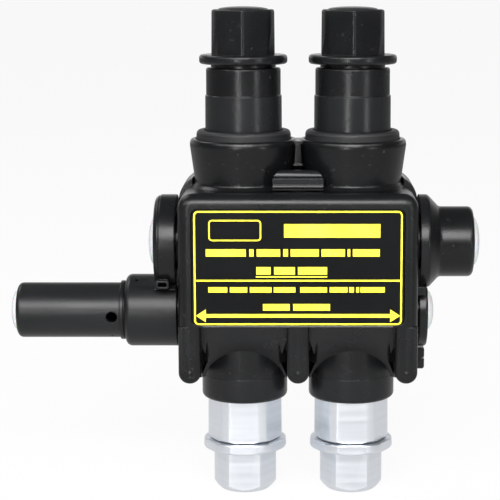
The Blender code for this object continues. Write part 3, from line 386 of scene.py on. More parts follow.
def wire(tree, *rows):
    """Links sockets, each row as (node, output, node, input)."""
    for source, output, target, socket in rows:
        tree.links.new(source.outputs[output], target.inputs[socket])


def new_group(name, inputs, outputs):
    """A shader node group with float sockets, and its two end nodes."""
    group = bpy.data.node_groups.new(name, "ShaderNodeTree")
    for socket, default in inputs.items():
        made = group.interface.new_socket(socket, in_out="INPUT", socket_type="NodeSocketFloat")
        made.default_value = default
    for socket in outputs:
        group.interface.new_socket(socket, in_out="OUTPUT", socket_type="NodeSocketFloat")
    return group, node_in(group, "NodeGroupInput"), node_in(group, "NodeGroupOutput")


def make_grain_group():
    """Grain of a moulded skin: a height, slow drifts for tone and gloss, and rare specks."""
    group, ends, out = new_group(
        "moulded_grain", {"Grain Scale": 2600.0, "Drift Scale": 60.0}, ("Height", "Drift", "Speck"))
    place = node_in(group, "ShaderNodeTexCoord")
    grain = node_in(group, "ShaderNodeTexNoise", {"Detail": 3.0, "Roughness": 0.6})
    drift = node_in(group, "ShaderNodeTexNoise", {"Detail": 4.0})
    speck = node_in(group, "ShaderNodeTexNoise", {"Scale": 900.0, "Detail": 1.0})
    rare = node_in(
        group, "ShaderNodeMapRange", {"From Min": 0.69, "From Max": 0.78},
        interpolation_type="SMOOTHSTEP")
    wire(
        group,
        *((place, "Object", texture, "Vector") for texture in (grain, drift, speck)),
        (ends, "Grain Scale", grain, "Scale"),
        (ends, "Drift Scale", drift, "Scale"),
        (grain, "Fac", out, "Height"),
        (drift, "Fac", out, "Drift"),
        (speck, "Fac", rare, "Value"),
        (rare, "Result", out, "Speck"))


def make_edge_group():
    """A mask of the outer edges, where handling polishes a moulding and brightens a metal."""
    group, ends, out = new_group("edge_wear", {"Start": 0.51, "End": 0.56}, ["Edge"])
    shape = node_in(group, "ShaderNodeNewGeometry")
    spread = node_in(group, "ShaderNodeMapRange", interpolation_type="SMOOTHSTEP")
    wire(
        group,
        (shape, "Pointiness", spread, "Value"),
        (ends, "Start", spread, "From Min"),
        (ends, "End", spread, "From Max"),
        (spread, "Result", out, "Edge"))


def make_turning_group():
    """Fine tool marks that run round a turned or milled bolt."""
    group, ends, out = new_group("tool_marks", {"Pitch": 5200.0}, ("Height", "Streak"))
    place = node_in(group, "ShaderNodeTexCoord")
    squash = node_in(group, "ShaderNodeMapping", {"Scale": (0.04, 0.04, 1.0)})
    marks = node_in(group, "ShaderNodeTexNoise", {"Detail": 2.0})
    slow = node_in(group, "ShaderNodeTexNoise", {"Scale": 700.0, "Detail": 3.0})
    wire(
        group,
        (place, "Object", squash, "Vector"),
        (squash, "Vector", marks, "Vector"),
        (squash, "Vector", slow, "Vector"),
        (ends, "Pitch", marks, "Scale"),
        (marks, "Fac", out, "Height"),
        (slow, "Fac", out, "Streak"))


def group_in(tree, name, values=None):
    made = node_in(tree, "ShaderNodeGroup")
    made.node_tree = bpy.data.node_groups[name]
    return set_inputs(made, values)


def spread_of(tree, source, low, high):
    """A value that follows a texture between two limits."""
    made = node_in(tree, "ShaderNodeMapRange", {
        "From Min": 0.3, "From Max": 0.7, "To Min": low, "To Max": high})
    tree.links.new(source, made.inputs["Value"])
    return made.outputs["Result"]


def blend_of(tree, amount, first, second):
    """Mixes two colours, each a plain colour or a socket, by an amount socket."""
    made = node_in(tree, "ShaderNodeMix", data_type="RGBA")
    tree.links.new(amount, made.inputs["Factor"])
    for name, colour in (("A", first), ("B", second)):
        socket = [s for s in made.inputs if s.name == name and s.type == "RGBA"][0]
        if isinstance(colour, bpy.types.NodeSocket):
            tree.links.new(colour, socket)
        else:
            socket.default_value = (*colour, 1.0)
    return [s for s in made.outputs if s.type == "RGBA"][0]


def tint(colour, factor, lift=0.0):
    return [min(1.0, channel * factor + lift) for channel in colour]


def shader_of(name, values=None):
    material = bpy.data.materials.new(name)
    material.use_nodes = True
    tree = material.node_tree
    return tree, set_inputs(tree.nodes["Principled BSDF"], values)


def bump_of(tree, shader, height, strength, distance, rounding=0.0):
    bump = node_in(tree, "ShaderNodeBump", {"Strength": strength, "Distance": distance})
    tree.links.new(height, bump.inputs["Height"])
    if rounding:
        soft = node_in(tree, "ShaderNodeBevel", {"Radius": rounding}, samples=6)
        wire(tree, (soft, "Normal", bump, "Normal"))
    wire(tree, (bump, "Normal", shader, "Normal"))


def make_moulding(name, colour, roughness, rounding, grain, strength):
    """A black moulding: grain, drifting gloss, pale specks of dust and polished edges."""
    tree, shader = shader_of(name, {"Specular IOR Level": 0.28})
    skin = group_in(tree, "moulded_grain", {"Grain Scale": grain})
    edge = group_in(tree, "edge_wear")
    drift = skin.outputs["Drift"]
    tone = blend_of(tree, spread_of(tree, drift, 0.0, 1.0), colour, tint(colour, 1.7))
    tone = blend_of(tree, skin.outputs["Speck"], tone, tint(colour, 3.0, 0.01))
    tone = blend_of(tree, edge.outputs["Edge"], tone, tint(colour, 2.2, 0.002))
    gloss = spread_of(tree, drift, roughness - 0.05, roughness + 0.06)
    tree.links.new(tone, shader.inputs["Base Color"])
    tree.links.new(gloss, shader.inputs["Roughness"])
    bump_of(tree, shader, skin.outputs["Height"], strength, 0.00006, rounding)


def make_skin(name, colour, second, scales, gloss, bump, gloss_from="Drift", values=None):
    """A smooth skin that drifts between two tones, with a fine grain and an uneven gloss."""
    tree, shader = shader_of(name, values)
    skin = group_in(tree, "moulded_grain", dict(zip(("Grain Scale", "Drift Scale"), scales)))
    tone = blend_of(tree, spread_of(tree, skin.outputs["Drift"], 0.0, 1.0), colour, second)
    tree.links.new(tone, shader.inputs["Base Color"])
    tree.links.new(spread_of(tree, skin.outputs[gloss_from], *gloss), shader.inputs["Roughness"])
    bump_of(tree, shader, skin.outputs["Height"], *bump)


def make_metal(name, colour, roughness, rounding):
    """A turned or drawn metal with tool marks round it and brighter edges."""
    tree, shader = shader_of(name, {"Metallic": 1.0})
    marks = group_in(tree, "tool_marks")
    edge = group_in(tree, "edge_wear", {"Start": 0.52, "End": 0.6})
    streak = marks.outputs["Streak"]
    tone = blend_of(tree, spread_of(tree, streak, 0.0, 1.0), tint(colour, 0.9), colour)
    tone = blend_of(tree, edge.outputs["Edge"], tone, tint(colour, 1.08))
    gloss = spread_of(tree, streak, roughness - 0.04, roughness + 0.05)
    tree.links.new(tone, shader.inputs["Base Color"])
    tree.links.new(gloss, shader.inputs["Roughness"])
    bump_of(tree, shader, marks.outputs["Height"], 0.12, 0.00003, rounding)


class CONNECTOR_OT_finishes(bpy.types.Operator):
    """Makes the finishes and gives the hidden metal pieces theirs"""
    bl_idname = "connector.finishes"
    bl_label = "Finishes"

    def execute(self, context):
        soft = context.scene.connector_sizes.moulding_ease
        colours = context.scene.connector_colours
        make_grain_group()
        make_edge_group()
        make_turning_group()

        # Mouldings as name, colour, roughness, scale of the grain, strength of the grain
        for name, colour, roughness, grain, strength in (
            ("satin black moulding", colours.moulding, 0.27, 2600.0, 0.32),
            ("bolt cap moulding", colours.moulding, 0.25, 2000.0, 0.45),
            ("sleeve moulding", colours.moulding, 0.33, 2000.0, 0.4),
            ("seal ring rubber", colours.rubber, 0.5, 3200.0, 0.16),
        ):
            make_moulding(name, tuple(colour), roughness, soft, grain, strength)

        film, ink, milk = (tuple(c) for c in (colours.film, colours.ink, colours.membrane))
        make_skin(
            "label film", film, tint(film, 1.35), (1500.0, 90.0), (0.42, 0.5), (0.12, 0.00004),
            values={"Specular IOR Level": 0.07})
        make_skin(
            "label ink", ink, tint(ink, 1.04, 0.03), (3400.0, 160.0), (0.45, 0.6), (0.1, 0.00003),
            gloss_from="Height")
        make_skin(
            "milky port seal", milk, tint(milk, 0.86), (1200.0, 180.0), (0.28, 0.4),
            (0.06, 0.00004), values={"Subsurface Weight": 0.35, "Subsurface Scale": 0.001})

        # Metals as name, colour, roughness, rounding shown on the edges
        for name, colour, roughness, rounding in (
            ("turned aluminium", colours.aluminium, 0.34, 0.00025),
            ("drawn contact metal", colours.aluminium, 0.38, 0.0),
            ("zinc steel", colours.steel, 0.32, 0.0),
            ("tinned plate", colours.tin, 0.36, 0.0),
        ):
            make_metal(name, tuple(colour), roughness, rounding)

        inner = {"contact_body": "drawn contact metal", "piercing_plate": "tinned plate"}
        for word, _ in SIDES:
            inner[f"main_screw_{word}"] = "zinc steel"
            for kind in ("main", "house"):
                inner[f"{kind}_bush_{word}"] = "zinc steel"
                inner[f"{kind}_saddle_{word}"] = "drawn contact metal"
        for node, finish in inner.items():
            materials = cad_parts[node].data.materials
            materials.clear()
            materials.append(bpy.data.materials[finish])
        return {"FINISHED"}


# Main housing

def front_block(sizes):
    """The label side, with rounded shoulders and a rolled edge on three sides."""
    half = sizes.housing_width / 2
    front = -sizes.front_reach
    ledge = -sizes.ledge_depth
    form = block((-half, front, ledge), (half, -CLEARANCE, HOUSING_TOP))
    ease(form, edges_at("x", z=HOUSING_TOP), 0.0036, 8)
    return ease(form, front_rim(front, ledge), sizes.roll_radius, 8)


def lip(sizes):
    """The sloped bead along the edge under the label."""
    front = -sizes.front_reach
    low = -sizes.ledge_depth
    half = sizes.housing_width / 2 - 1.1 * sizes.finger_width
    return prism(
        [(front - 0.01 * MM, low + 0.62 * MM), (front - 0.2 * MM, low + 0.12 * MM),
         (front - 0.14 * MM, low + 0.03 * MM), (front + 0.5 * MM, low + 0.03 * MM),
         (front + 0.5 * MM, low + 0.62 * MM)],
        -half, half, "X")


def label_seat(sizes):
    """The recess of the label, cut when the fingers are in place."""
    room = 0.15 * MM
    seat = block(
        (-PLATE_HALF - room, -sizes.front_reach - BITE, PLATE_LOW - room / 2),
        (PLATE_HALF + room, LABEL_FACE + 0.8 * MM, PLATE_HIGH + room))
    return ease(seat, edges_at("xz"), 0.0014, 6)


def tub(sizes):
    """The box behind the label side, with deep pockets on both sides of the funnels."""
    half = sizes.housing_width / 2 - 1.3 * MM
    front = 2.1 * MM - sizes.front_reach
    ledge = -sizes.ledge_depth
    floor = BODY_BOTTOM - 1.6 * MM
    pocket = -9.2 * MM
    rear = COVER_REAR - 2.3 * MM
    slope = sizes.funnel_slope
    form = prism([
        (front, HOUSING_TOP), (front, ledge + BITE), (pocket, ledge + BITE),
        (pocket, ledge - (pocket - front) / slope), (front + (ledge - floor) * slope, floor),
        (rear, floor), (rear, HOUSING_TOP)],
        -half, half, "X")
    return ease(form, edges_at("x", z=HOUSING_TOP), 0.0042, 6)


def pocket_ribs(sizes):
    """Slanted ribs at the back of the pockets, which turn the light away."""
    ledge = -sizes.ledge_depth
    funnel_front = 2.6 * MM - sizes.front_reach
    back = -8.8 * MM
    ribs = []
    for _, side in SIDES:
        for way in (-1, 1):
            flank, far_side = [side * BOLT_X + way * reach * MM for reach in (8.4, 10.4)]
            rib = prism(
                [(flank, funnel_front), (far_side, back), (flank, back)],
                BODY_BOTTOM - 1.8 * MM, ledge - 0.3 * MM, "Z")
            for vert in rib.verts:
                if near(vert.co.y, funnel_front):
                    slid = funnel_front + (ledge - vert.co.z) * sizes.funnel_slope
                    vert.co.y = min(slid, back - BITE)
            ribs.append(rib)
    return ribs


def funnel(sizes, side):
    """A sloped front that narrows to a waist and widens again to meet its cup."""
    ledge = -sizes.ledge_depth
    front = 0.9 * MM - sizes.front_reach
    middle = side * BOLT_X
    halves = ((11.4, 1.0), (11.4, 0.0), (8.6, -10.1), (10.3, -15.1))
    right = [(middle + half * MM, ledge + drop * MM) for half, drop in halves]
    left = [(middle - half * MM, ledge + drop * MM) for half, drop in reversed(halves)]
    form = prism(right + left, front, -CLEARANCE, "Y")
    geometry = form.verts[:] + form.edges[:] + form.faces[:]
    sliced = bmesh.ops.bisect_plane(
        form, geom=geometry, plane_co=(0, front, ledge), plane_no=(0, 1, sizes.funnel_slope),
        clear_inner=True)
    rim = [item for item in sliced["geom_cut"] if isinstance(item, bmesh.types.BMEdge)]
    bmesh.ops.edgeloop_fill(form, edges=rim)
    bmesh.ops.recalc_face_normals(form, faces=form.faces)
    return form


def finger(sizes, middle):
    """A rib that carries the rolled edge on down to a round foot, with a fine seam and a nub."""
    half = sizes.finger_width / 2
    front = -sizes.front_reach
    foot = -sizes.ledge_depth - 13.5 * MM
    top = -sizes.ledge_depth
    form = block((middle - half, front, foot), (middle + half, -CLEARANCE, top))
    ease(form, edges_at("x", z=foot), half * 0.985, 10)
    ease(form, front_rim(front, top), sizes.roll_radius, 8)
    seam = block(
        (middle - 0.07 * MM, front - 0.025 * MM, foot + 3.4 * MM),
        (middle + 0.07 * MM, front + BITE, top - 0.4 * MM))
    nub = bmesh.new()
    bmesh.ops.create_uvsphere(
        nub, u_segments=32, v_segments=24, radius=0.75 * MM,
        matrix=Matrix.Translation((middle, front + 0.45 * MM, foot + half - 0.1 * MM)))
    return carve(form, [seam, nub], "UNION")


def upper_cup(sizes, side):
    """A flared cup about a main bolt, with a fine seam down its front."""
    waist = sizes.cup_waist
    form = spun([
        (sizes.cup_radius - 0.4 * MM, CUP_RIM, 0.0004),
        (sizes.cup_radius, CUP_RIM - 1.0 * MM, 0.001),
        (waist, HOUSING_TOP + 0.9 * MM, 0.0004),
        (waist + 0.9 * MM, HOUSING_TOP - 0.05 * MM),
        (waist + 0.9 * MM, HOUSING_TOP - BITE),
        (waist - 3 * MM, HOUSING_TOP - BITE),
        (waist - 3 * MM, CUP_RIM),
    ])
    lean = sizes.cup_radius - waist
    seam_foot = HOUSING_TOP + 1.4 * MM
    seam = block(
        (-0.06 * MM, -waist - 0.03 * MM, seam_foot), (0.06 * MM, -waist + BITE, CUP_RIM - BITE))
    for vert in seam.verts:
        if vert.co.z > HOUSING_TOP + 2 * MM:
            rise = CUP_RIM - BITE - HOUSING_TOP - 1.4 * MM
            vert.co.y -= lean * rise / (CUP_RIM - HOUSING_TOP - 0.9 * MM)
    return moved(carve(form, [seam], "UNION"), (side * BOLT_X, 0, 0))


def lower_cup(sizes, side):
    """A straight cup about a house bolt, with a fine seam round it."""
    radius = sizes.lower_cup_radius
    top = -sizes.ledge_depth - BITE
    seam = CUP_FOOT + 5.9 * MM
    return moved(spun([
        (radius, top),
        (radius, seam + 0.05 * MM),
        (radius - 0.05 * MM, seam + 0.03 * MM),
        (radius - 0.05 * MM, seam - 0.03 * MM),
        (radius, seam - 0.05 * MM),
        (radius, CUP_FOOT, 0.0013),
        (radius - 1.1 * MM, CUP_FOOT, 0.0003),
        (radius - 1.1 * MM, top),
    ]), (side * BOLT_X, 0, 0))


def cup_web():
    """The web, bridge and tapered rib between the two upper cups."""
    top = CUP_RIM - 0.3 * MM
    web = block((-3.4 * MM, -1 * MM, HOUSING_TOP - BITE), (3.4 * MM, 1 * MM, top - 0.3 * MM))
    bridge = block((-3.4 * MM, -4.5 * MM, top - 0.8 * MM), (3.4 * MM, 4.5 * MM, top))
    low = high_of("top_clip", 2) - 0.1 * MM
    front = -6 * MM
    rib = prism([
        (-0.95 * MM, low), (0.95 * MM, low), (0.65 * MM, top - 0.5 * MM),
        (-0.65 * MM, top - 0.5 * MM)],
        front, 0, "Y")
    ease(rib, lambda a, b: near(a.y, front) and near(b.y, front) and not near(a.z, b.z), 0.0003, 3)
    foot = block((-1.2 * MM, -6.3 * MM, low), (1.2 * MM, -0.5 * MM, low + 0.6 * MM))
    ease(foot, edges_at(y=-6.3 * MM), 0.0002, 2)
    return [web, bridge, rib, foot]


def inner_room():
    """The space for the contact body, open to the rear."""
    step = BODY_TOP - 20.7 * MM
    half = BODY_HALF + CLEARANCE
    upper = block((-half, -10.1 * MM, step), (half, 0.05, BODY_TOP + CLEARANCE))
    lower = block((-half, -7.9 * MM, BODY_BOTTOM - CLEARANCE), (half, 0.05, step + 0.1 * MM))
    return [upper, lower]


def bolt_rooms(side):
    """The bores through an upper and a lower cup."""
    place = (side * BOLT_X, 0, 0)
    upper = spun([
        (0, CUP_RIM + BITE),
        (11.5 * MM, CUP_RIM + BITE),
        (11.5 * MM, CUP_RIM - 3 * MM),
        (9.6 * MM, CUP_RIM - 3 * MM),
        (9.6 * MM, BODY_TOP - BITE),
        (0, BODY_TOP - BITE),
    ])
    lower = rod(9.2 * MM, BODY_BOTTOM + BITE, CUP_FOOT - BITE)
    return [moved(upper, place), moved(lower, place)]


class CONNECTOR_OT_housing(bpy.types.Operator):
    """Makes the main housing: label side, funnels, fingers and the four bolt cups"""
    bl_idname = "connector.housing"
    bl_label = "Main housing"

    def execute(self, context):
        sizes = context.scene.connector_sizes
        half = sizes.housing_width / 2
        outer = half - 2.6 * MM
        parts = [tub(sizes)]
        parts += [finger(sizes, middle) for middle in (-outer, 0, outer)]
        for _, side in SIDES:
            parts += [funnel(sizes, side), upper_cup(sizes, side), lower_cup(sizes, side)]
        parts += cup_web()
        parts.append(lip(sizes))
        lug = block(
            (half - BITE, -9.6 * MM, PARTING - BITE), (half + 2.2 * MM, -7.6 * MM, PARTING + BITE))
        parts.append(ease(lug, edges_at("x"), 0.0002, 2))
        whole = carve(front_block(sizes), parts, "UNION")
        rooms = inner_room() + [label_seat(sizes)]
        for _, side in SIDES:
            rooms += bolt_rooms(side)
        whole = gather([carve(whole, rooms)] + pocket_ribs(sizes))
        put("housing_moulding", whole, "satin black moulding", "main_housing")
        return {"FINISHED"}


class CONNECTOR_OT_rear_cover(bpy.types.Operator):
    """Makes the rear cover with its rounded shoulders and the snap at its side"""
    bl_idname = "connector.rear_cover"
    bl_label = "Rear cover"

    def execute(self, context):
        sizes = context.scene.connector_sizes
        half, top, foot = COVER_HALF, COVER_TOP, COVER_BOTTOM
        form = block((-half, 0, foot), (half, COVER_REAR, top))
        ease(form, edges_at("x", z=top), 0.0062, 10)
        ease(form, edges_at("x", z=foot), 0.005, 8)
        ease(form, edges_at(y=COVER_REAR), 0.0024, 6)
        ease(form, edges_at(y=0), 0.0003, 2)
        wall = 1.7 * MM
        floor = foot + wall
        ceiling = HOUSING_TOP + CLEARANCE
        room = block(
            (-half + wall, -BITE, floor), (half - wall, COVER_REAR - 2 * MM, ceiling))
        ease(room, edges_at("x", z=ceiling), 0.0045, 6)
        ease(room, edges_at("x", z=floor), 0.0033, 6)
        tools = [room]
        for _, side in SIDES:
            place = (side * BOLT_X, 0, 0)
            upper = rod(sizes.cup_waist + 0.75 * MM, top + BITE, HOUSING_TOP - BITE)
            lower = rod(sizes.lower_cup_radius + CLEARANCE, foot + 2 * wall, foot - BITE)
            tools += [moved(upper, place), moved(lower, place)]
        tools.append(block((-3.4 * MM, -1.3 * MM, HOUSING_TOP), (3.4 * MM, 1.3 * MM, top + BITE)))
        whole = carve(form, tools)
        reach = high_of("rear_cover", 0)
        middle = PARTING - 18.5 * MM
        snap = block((half - BITE, BITE, middle - 2.6 * MM), (reach, 5 * MM, middle + 2.6 * MM))
        ease(snap, lambda a, b: a.x > half and b.x > half, 0.0005, 3)
        notch = prism([
            (reach - 0.8 * MM, middle), (reach + 0.9 * MM, middle - 0.6 * MM),
            (reach + 0.9 * MM, middle + 0.6 * MM)],
            0, 6 * MM, "Y")
        whole = carve(whole, [carve(snap, [notch])], "UNION")
        put("cover_moulding", whole, "satin black moulding", "rear_cover")
        return {"FINISHED"}


class CONNECTOR_OT_top_clip(bpy.types.Operator):
    """Makes the small stepped clip between the upper cups"""
    bl_idname = "connector.top_clip"
    bl_label = "Top clip"

    def execute(self, context):
        low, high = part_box("top_clip")
        half = high.x - 0.2 * MM
        high.z -= 0.35 * MM
        front = low.y
        back = front + 2.3 * MM
        section = [(back, low.z), (back, high.z)]
        section += [(front + deep * MM, high.z - down * MM) for deep, down in (
            (1.3, 0), (0.75, 0.18), (0.3, 0.6), (0.1, 1.15), (0.12, 1.5), (0.6, 1.62),
            (0.55, 1.75), (0.22, 1.85))]
        section += [(front + deep * MM, low.z + up * MM) for deep, up in (
            (0.22, 1.3), (0.14, 1.22), (0, 0.95), (0, 0.75), (0.5, 0.45), (0.5, 0))]
        bar = prism(section, -half, half, "X")
        sides = block((-half, front - BITE, low.z - BITE), (half, back + BITE, high.z))
        ease(sides, edges_at("x", z=high.z), 0.0024, 8)
        bar = carve(bar, [sides], "INTERSECT")
        tongue = block((-0.75 * MM, back - BITE, low.z + BITE), (0.75 * MM, high.y, high.z - BITE))
        put("clip_moulding", carve(bar, [tongue], "UNION"), "satin black moulding", "top_clip")
        return {"FINISHED"}


# Bolts

def cap_form():
    """The insulating cap of a main bolt, about Z."""
    top = high_of("main_bolt_cap_left", 2)
    foot = low_of("main_bolt_cap_left", 2)
    disc_rise = 0.7 * MM
    head_top = top - disc_rise
    base = head_top - 10.5 * MM
    flange_low = base - 2.2 * MM
    barrel_top = flange_low - 0.9 * MM
    step = barrel_top - 6.5 * MM
    barrel = spun([
        (0, base + 0.3 * MM),
        (7.0 * MM, base + 0.3 * MM, 0.0002),
        (7.2 * MM, base),
        (10.4 * MM, base, 0.0007),
        (10.4 * MM, flange_low, 0.0007),
        (7.65 * MM, flange_low),
        (7.65 * MM, barrel_top),
        (8.8 * MM, barrel_top, 0.0004),
        (8.82 * MM, step + 0.12 * MM),
        (8.86 * MM, step + 0.06 * MM),
        (9.02 * MM, step + 0.02 * MM),
        (9.04 * MM, step - 0.04 * MM),
        (9.1 * MM, foot),
        (0, foot),
    ])
    head = hexagon(CAP_HEAD_FLATS, base - 0.5 * MM, head_top)
    upright = edges_at("xy")
    ease(head, lambda a, b: upright(a, b) and abs(a.x) > BITE, 0.0019, 1)
    ease(head, lambda a, b: upright(a, b) and abs(a.x) < NEAR, 0.0005, 3)
    ease(head, edges_at(z=head_top), 0.0005, 4)
    for vert in head.verts:
        if vert.co.z < base + BITE:
            vert.co.xy *= 1.015
    disc = spun([(radius * MM, top - drop * MM) for radius, drop in (
        (0, 0), (1.5, 0.02), (3.0, 0.09), (4.4, 0.22), (5.5, 0.42), (5.85, 0.6))]
        + [(5.9 * MM, head_top - BITE), (0, head_top - BITE)])
    whole = carve(barrel, [head, disc], "UNION")
    bore = rod(5.3 * MM, foot + 1.8 * MM, foot - BITE)
    pocket = hexagon(SCREW_POCKET_FLATS, foot + 1.5 * MM, foot + 11.1 * MM, FLAT_FORWARD)
    return carve(whole, [bore, pocket])


def ring_form():
    """The rubber ring between a cap and its cup, about Z."""
    top = high_of("main_seal_ring_left", 2)
    foot = low_of("main_seal_ring_left", 2)
    return spun([
        (10.9 * MM, top, 0.0006),
        (11.2 * MM, top - 0.9 * MM, 0.002),
        (11.2 * MM, foot),
        (9.4 * MM, foot),
        (9.4 * MM, top, 0.0003),
    ])


class CONNECTOR_OT_main_bolts(bpy.types.Operator):
    """Makes the two insulated bolt caps and the rubber rings round them"""
    bl_idname = "connector.main_bolts"
    bl_label = "Main bolts"

    def execute(self, context):
        for word, side in SIDES:
            place = (side * BOLT_X, 0, 0)
            put(f"bolt_cap_{word}", moved(cap_form(), place), "bolt cap moulding",
                f"main_bolt_cap_{word}", f"main_bolt_{word}")
            put(f"seal_ring_{word}", moved(ring_form(), place), "seal ring rubber",
                f"main_seal_ring_{word}")
        return {"FINISHED"}


def bare_bolt_form():
    """An aluminium bolt about Z: shank, large hexagon, six-sided collar and small hexagon."""
    tip = high_of("house_bolt_left", 2)
    foot = low_of("house_bolt_left", 2)
    small_top = foot + 10.1 * MM
    collar_foot = small_top + 0.3 * MM
    collar_top = collar_foot + 2.2 * MM
    large_foot = collar_top + 0.3 * MM
    large_top = large_foot + 11.0 * MM
    shank = spun([
        (0, tip), (3 * MM, tip, 0.0003), (3 * MM, tip - 1.2 * MM), (5 * MM, tip - 1.2 * MM, 0.0004),
        (5 * MM, large_top - BITE), (0, large_top - BITE)])
    reach = SMALL_FLATS / math.sqrt(3)
    # The hexagons as width, foot, top and the round outline that trims their corners
    large, collar, small = (
        carve(hexagon(flats, low, high, FLAT_FORWARD), [spun(outline)], "INTERSECT")
        for flats, low, high, outline in (
            (LARGE_FLATS, large_foot, large_top, [
                (0, large_top), (7.7 * MM, large_top), (8.85 * MM, large_top - 0.9 * MM),
                (8.95 * MM, large_foot + 0.35 * MM), (8.5 * MM, large_foot), (0, large_foot)]),
            (COLLAR_FLATS, collar_foot, collar_top, [
                (0, collar_top), (9.9 * MM, collar_top, 0.0002),
                (10.05 * MM, collar_foot, 0.0006), (0, collar_foot)]),
            (SMALL_FLATS, foot, small_top, [
                (0, small_top), (reach, small_top), (reach, foot + 1.7 * MM),
                (reach - 1.7 * MM, foot, 0.0004), (0, foot)]),
        ))
    core = rod(6 * MM, large_foot + BITE, small_top - BITE)
    return carve(shank, [large, collar, small, core], "UNION")


class CONNECTOR_OT_house_bolts(bpy.types.Operator):
    """Makes the two bare aluminium bolts"""
    bl_idname = "connector.house_bolts"
    bl_label = "House bolts"

    def execute(self, context):
        for word, side in SIDES:
            put(f"bare_bolt_{word}", moved(bare_bolt_form(), (side * BOLT_X, 0, 0)),
                "turned aluminium", f"house_bolt_{word}", f"house_bolt_{word}", BOLT_SMOOTH_ANGLE)
        return {"FINISHED"}


# Ports

def port_form(outer, radii, seat_depth=SEAL_DEPTH):
    """A gland about Z: outer runs from the flange to the end, then the bore and spigot close it."""
    bore, spigot, seat = radii
    end = outer[-1][1]
    start = BODY_HALF + 0.6 * MM
    return spun(list(reversed(outer)) + [
        (spigot, PORT_FACE),
        (spigot, start),
        (bore, start),
        (bore, end - seat_depth),
        (seat, end - seat_depth),
        (seat, end, 0.0002),
    ])


def seal_form(radius, end, dome):
    """A domed seal about Z that stands proud of the end of its port."""
    wall = 0.9 * MM
    foot = end - SEAL_DEPTH + CLEARANCE
    inside = radius - wall
    crown = [(radius * share, end + dome * rise) for share, rise in (
        (0, 1), (0.35, 0.95), (0.62, 0.8), (0.83, 0.53), (0.95, 0.22))]
    return spun(crown + [
        (radius, end - dome * 0.1),
        (radius, foot),
        (inside, foot),
        (inside, end - dome * 0.2 - wall / 3),
        (inside * 0.6, end + dome * 0.8 - wall),
        (0, end + dome - wall),
    ])


def half_room(above):
    """A block that cuts flat the flange which would reach its neighbour above or below."""
    reach = -low_of("main_gland_left", 0) - CLEARANCE
    if above:
        return block((-reach, -0.012, PARTING - CLEARANCE / 2), (2 * reach, 0.012, 0.012))
    return block((-2 * reach, -0.012, -0.03), (2 * reach, 0.012, PARTING + CLEARANCE / 2))


def bored(form, places):
    """Sinks small round holes into a form: each is (centre, direction, radius, depth)."""
    drills = []
    for centre, direction, radius, depth in places:
        drill = bmesh.new()
        turn = Vector(direction).to_track_quat("Z", "X").to_matrix().to_4x4()
        bmesh.ops.create_cone(
            drill, cap_ends=True, segments=32, radius1=radius, radius2=radius, depth=2 * depth,
            matrix=Matrix.Translation(centre) @ turn)
        drills.append(drill)
    return carve(form, drills)


def hook_form():
    """The small hook in the gap between the left gland and the collar of the house port."""
    bar = block(
        (-33.4 * MM, -9.6 * MM, PARTING + 0.45 * MM), (-30.3 * MM, -4 * MM, PARTING + 2.5 * MM))
    ease(bar, edges_at("xz"), 0.0006, 4)
    ease(bar, edges_at(y=-9.6 * MM), 0.0002, 2)
    slot = block(
        (-32.9 * MM, -10 * MM, PARTING + 0.95 * MM), (-30.9 * MM, -3.9 * MM, PARTING + 1.95 * MM))
    bar = carve(bar, [ease(slot, edges_at("xz"), 0.0003, 3)])
    ramp = prism([
        (-8.3 * MM, PARTING + 0.06 * MM), (2 * MM, PARTING + 0.06 * MM),
        (2 * MM, PARTING + 1.7 * MM), (-3.5 * MM, PARTING + 1.7 * MM)],
        -33.9 * MM, -PORT_FACE - 0.1 * MM, "X")
    return gather([bar, ramp])


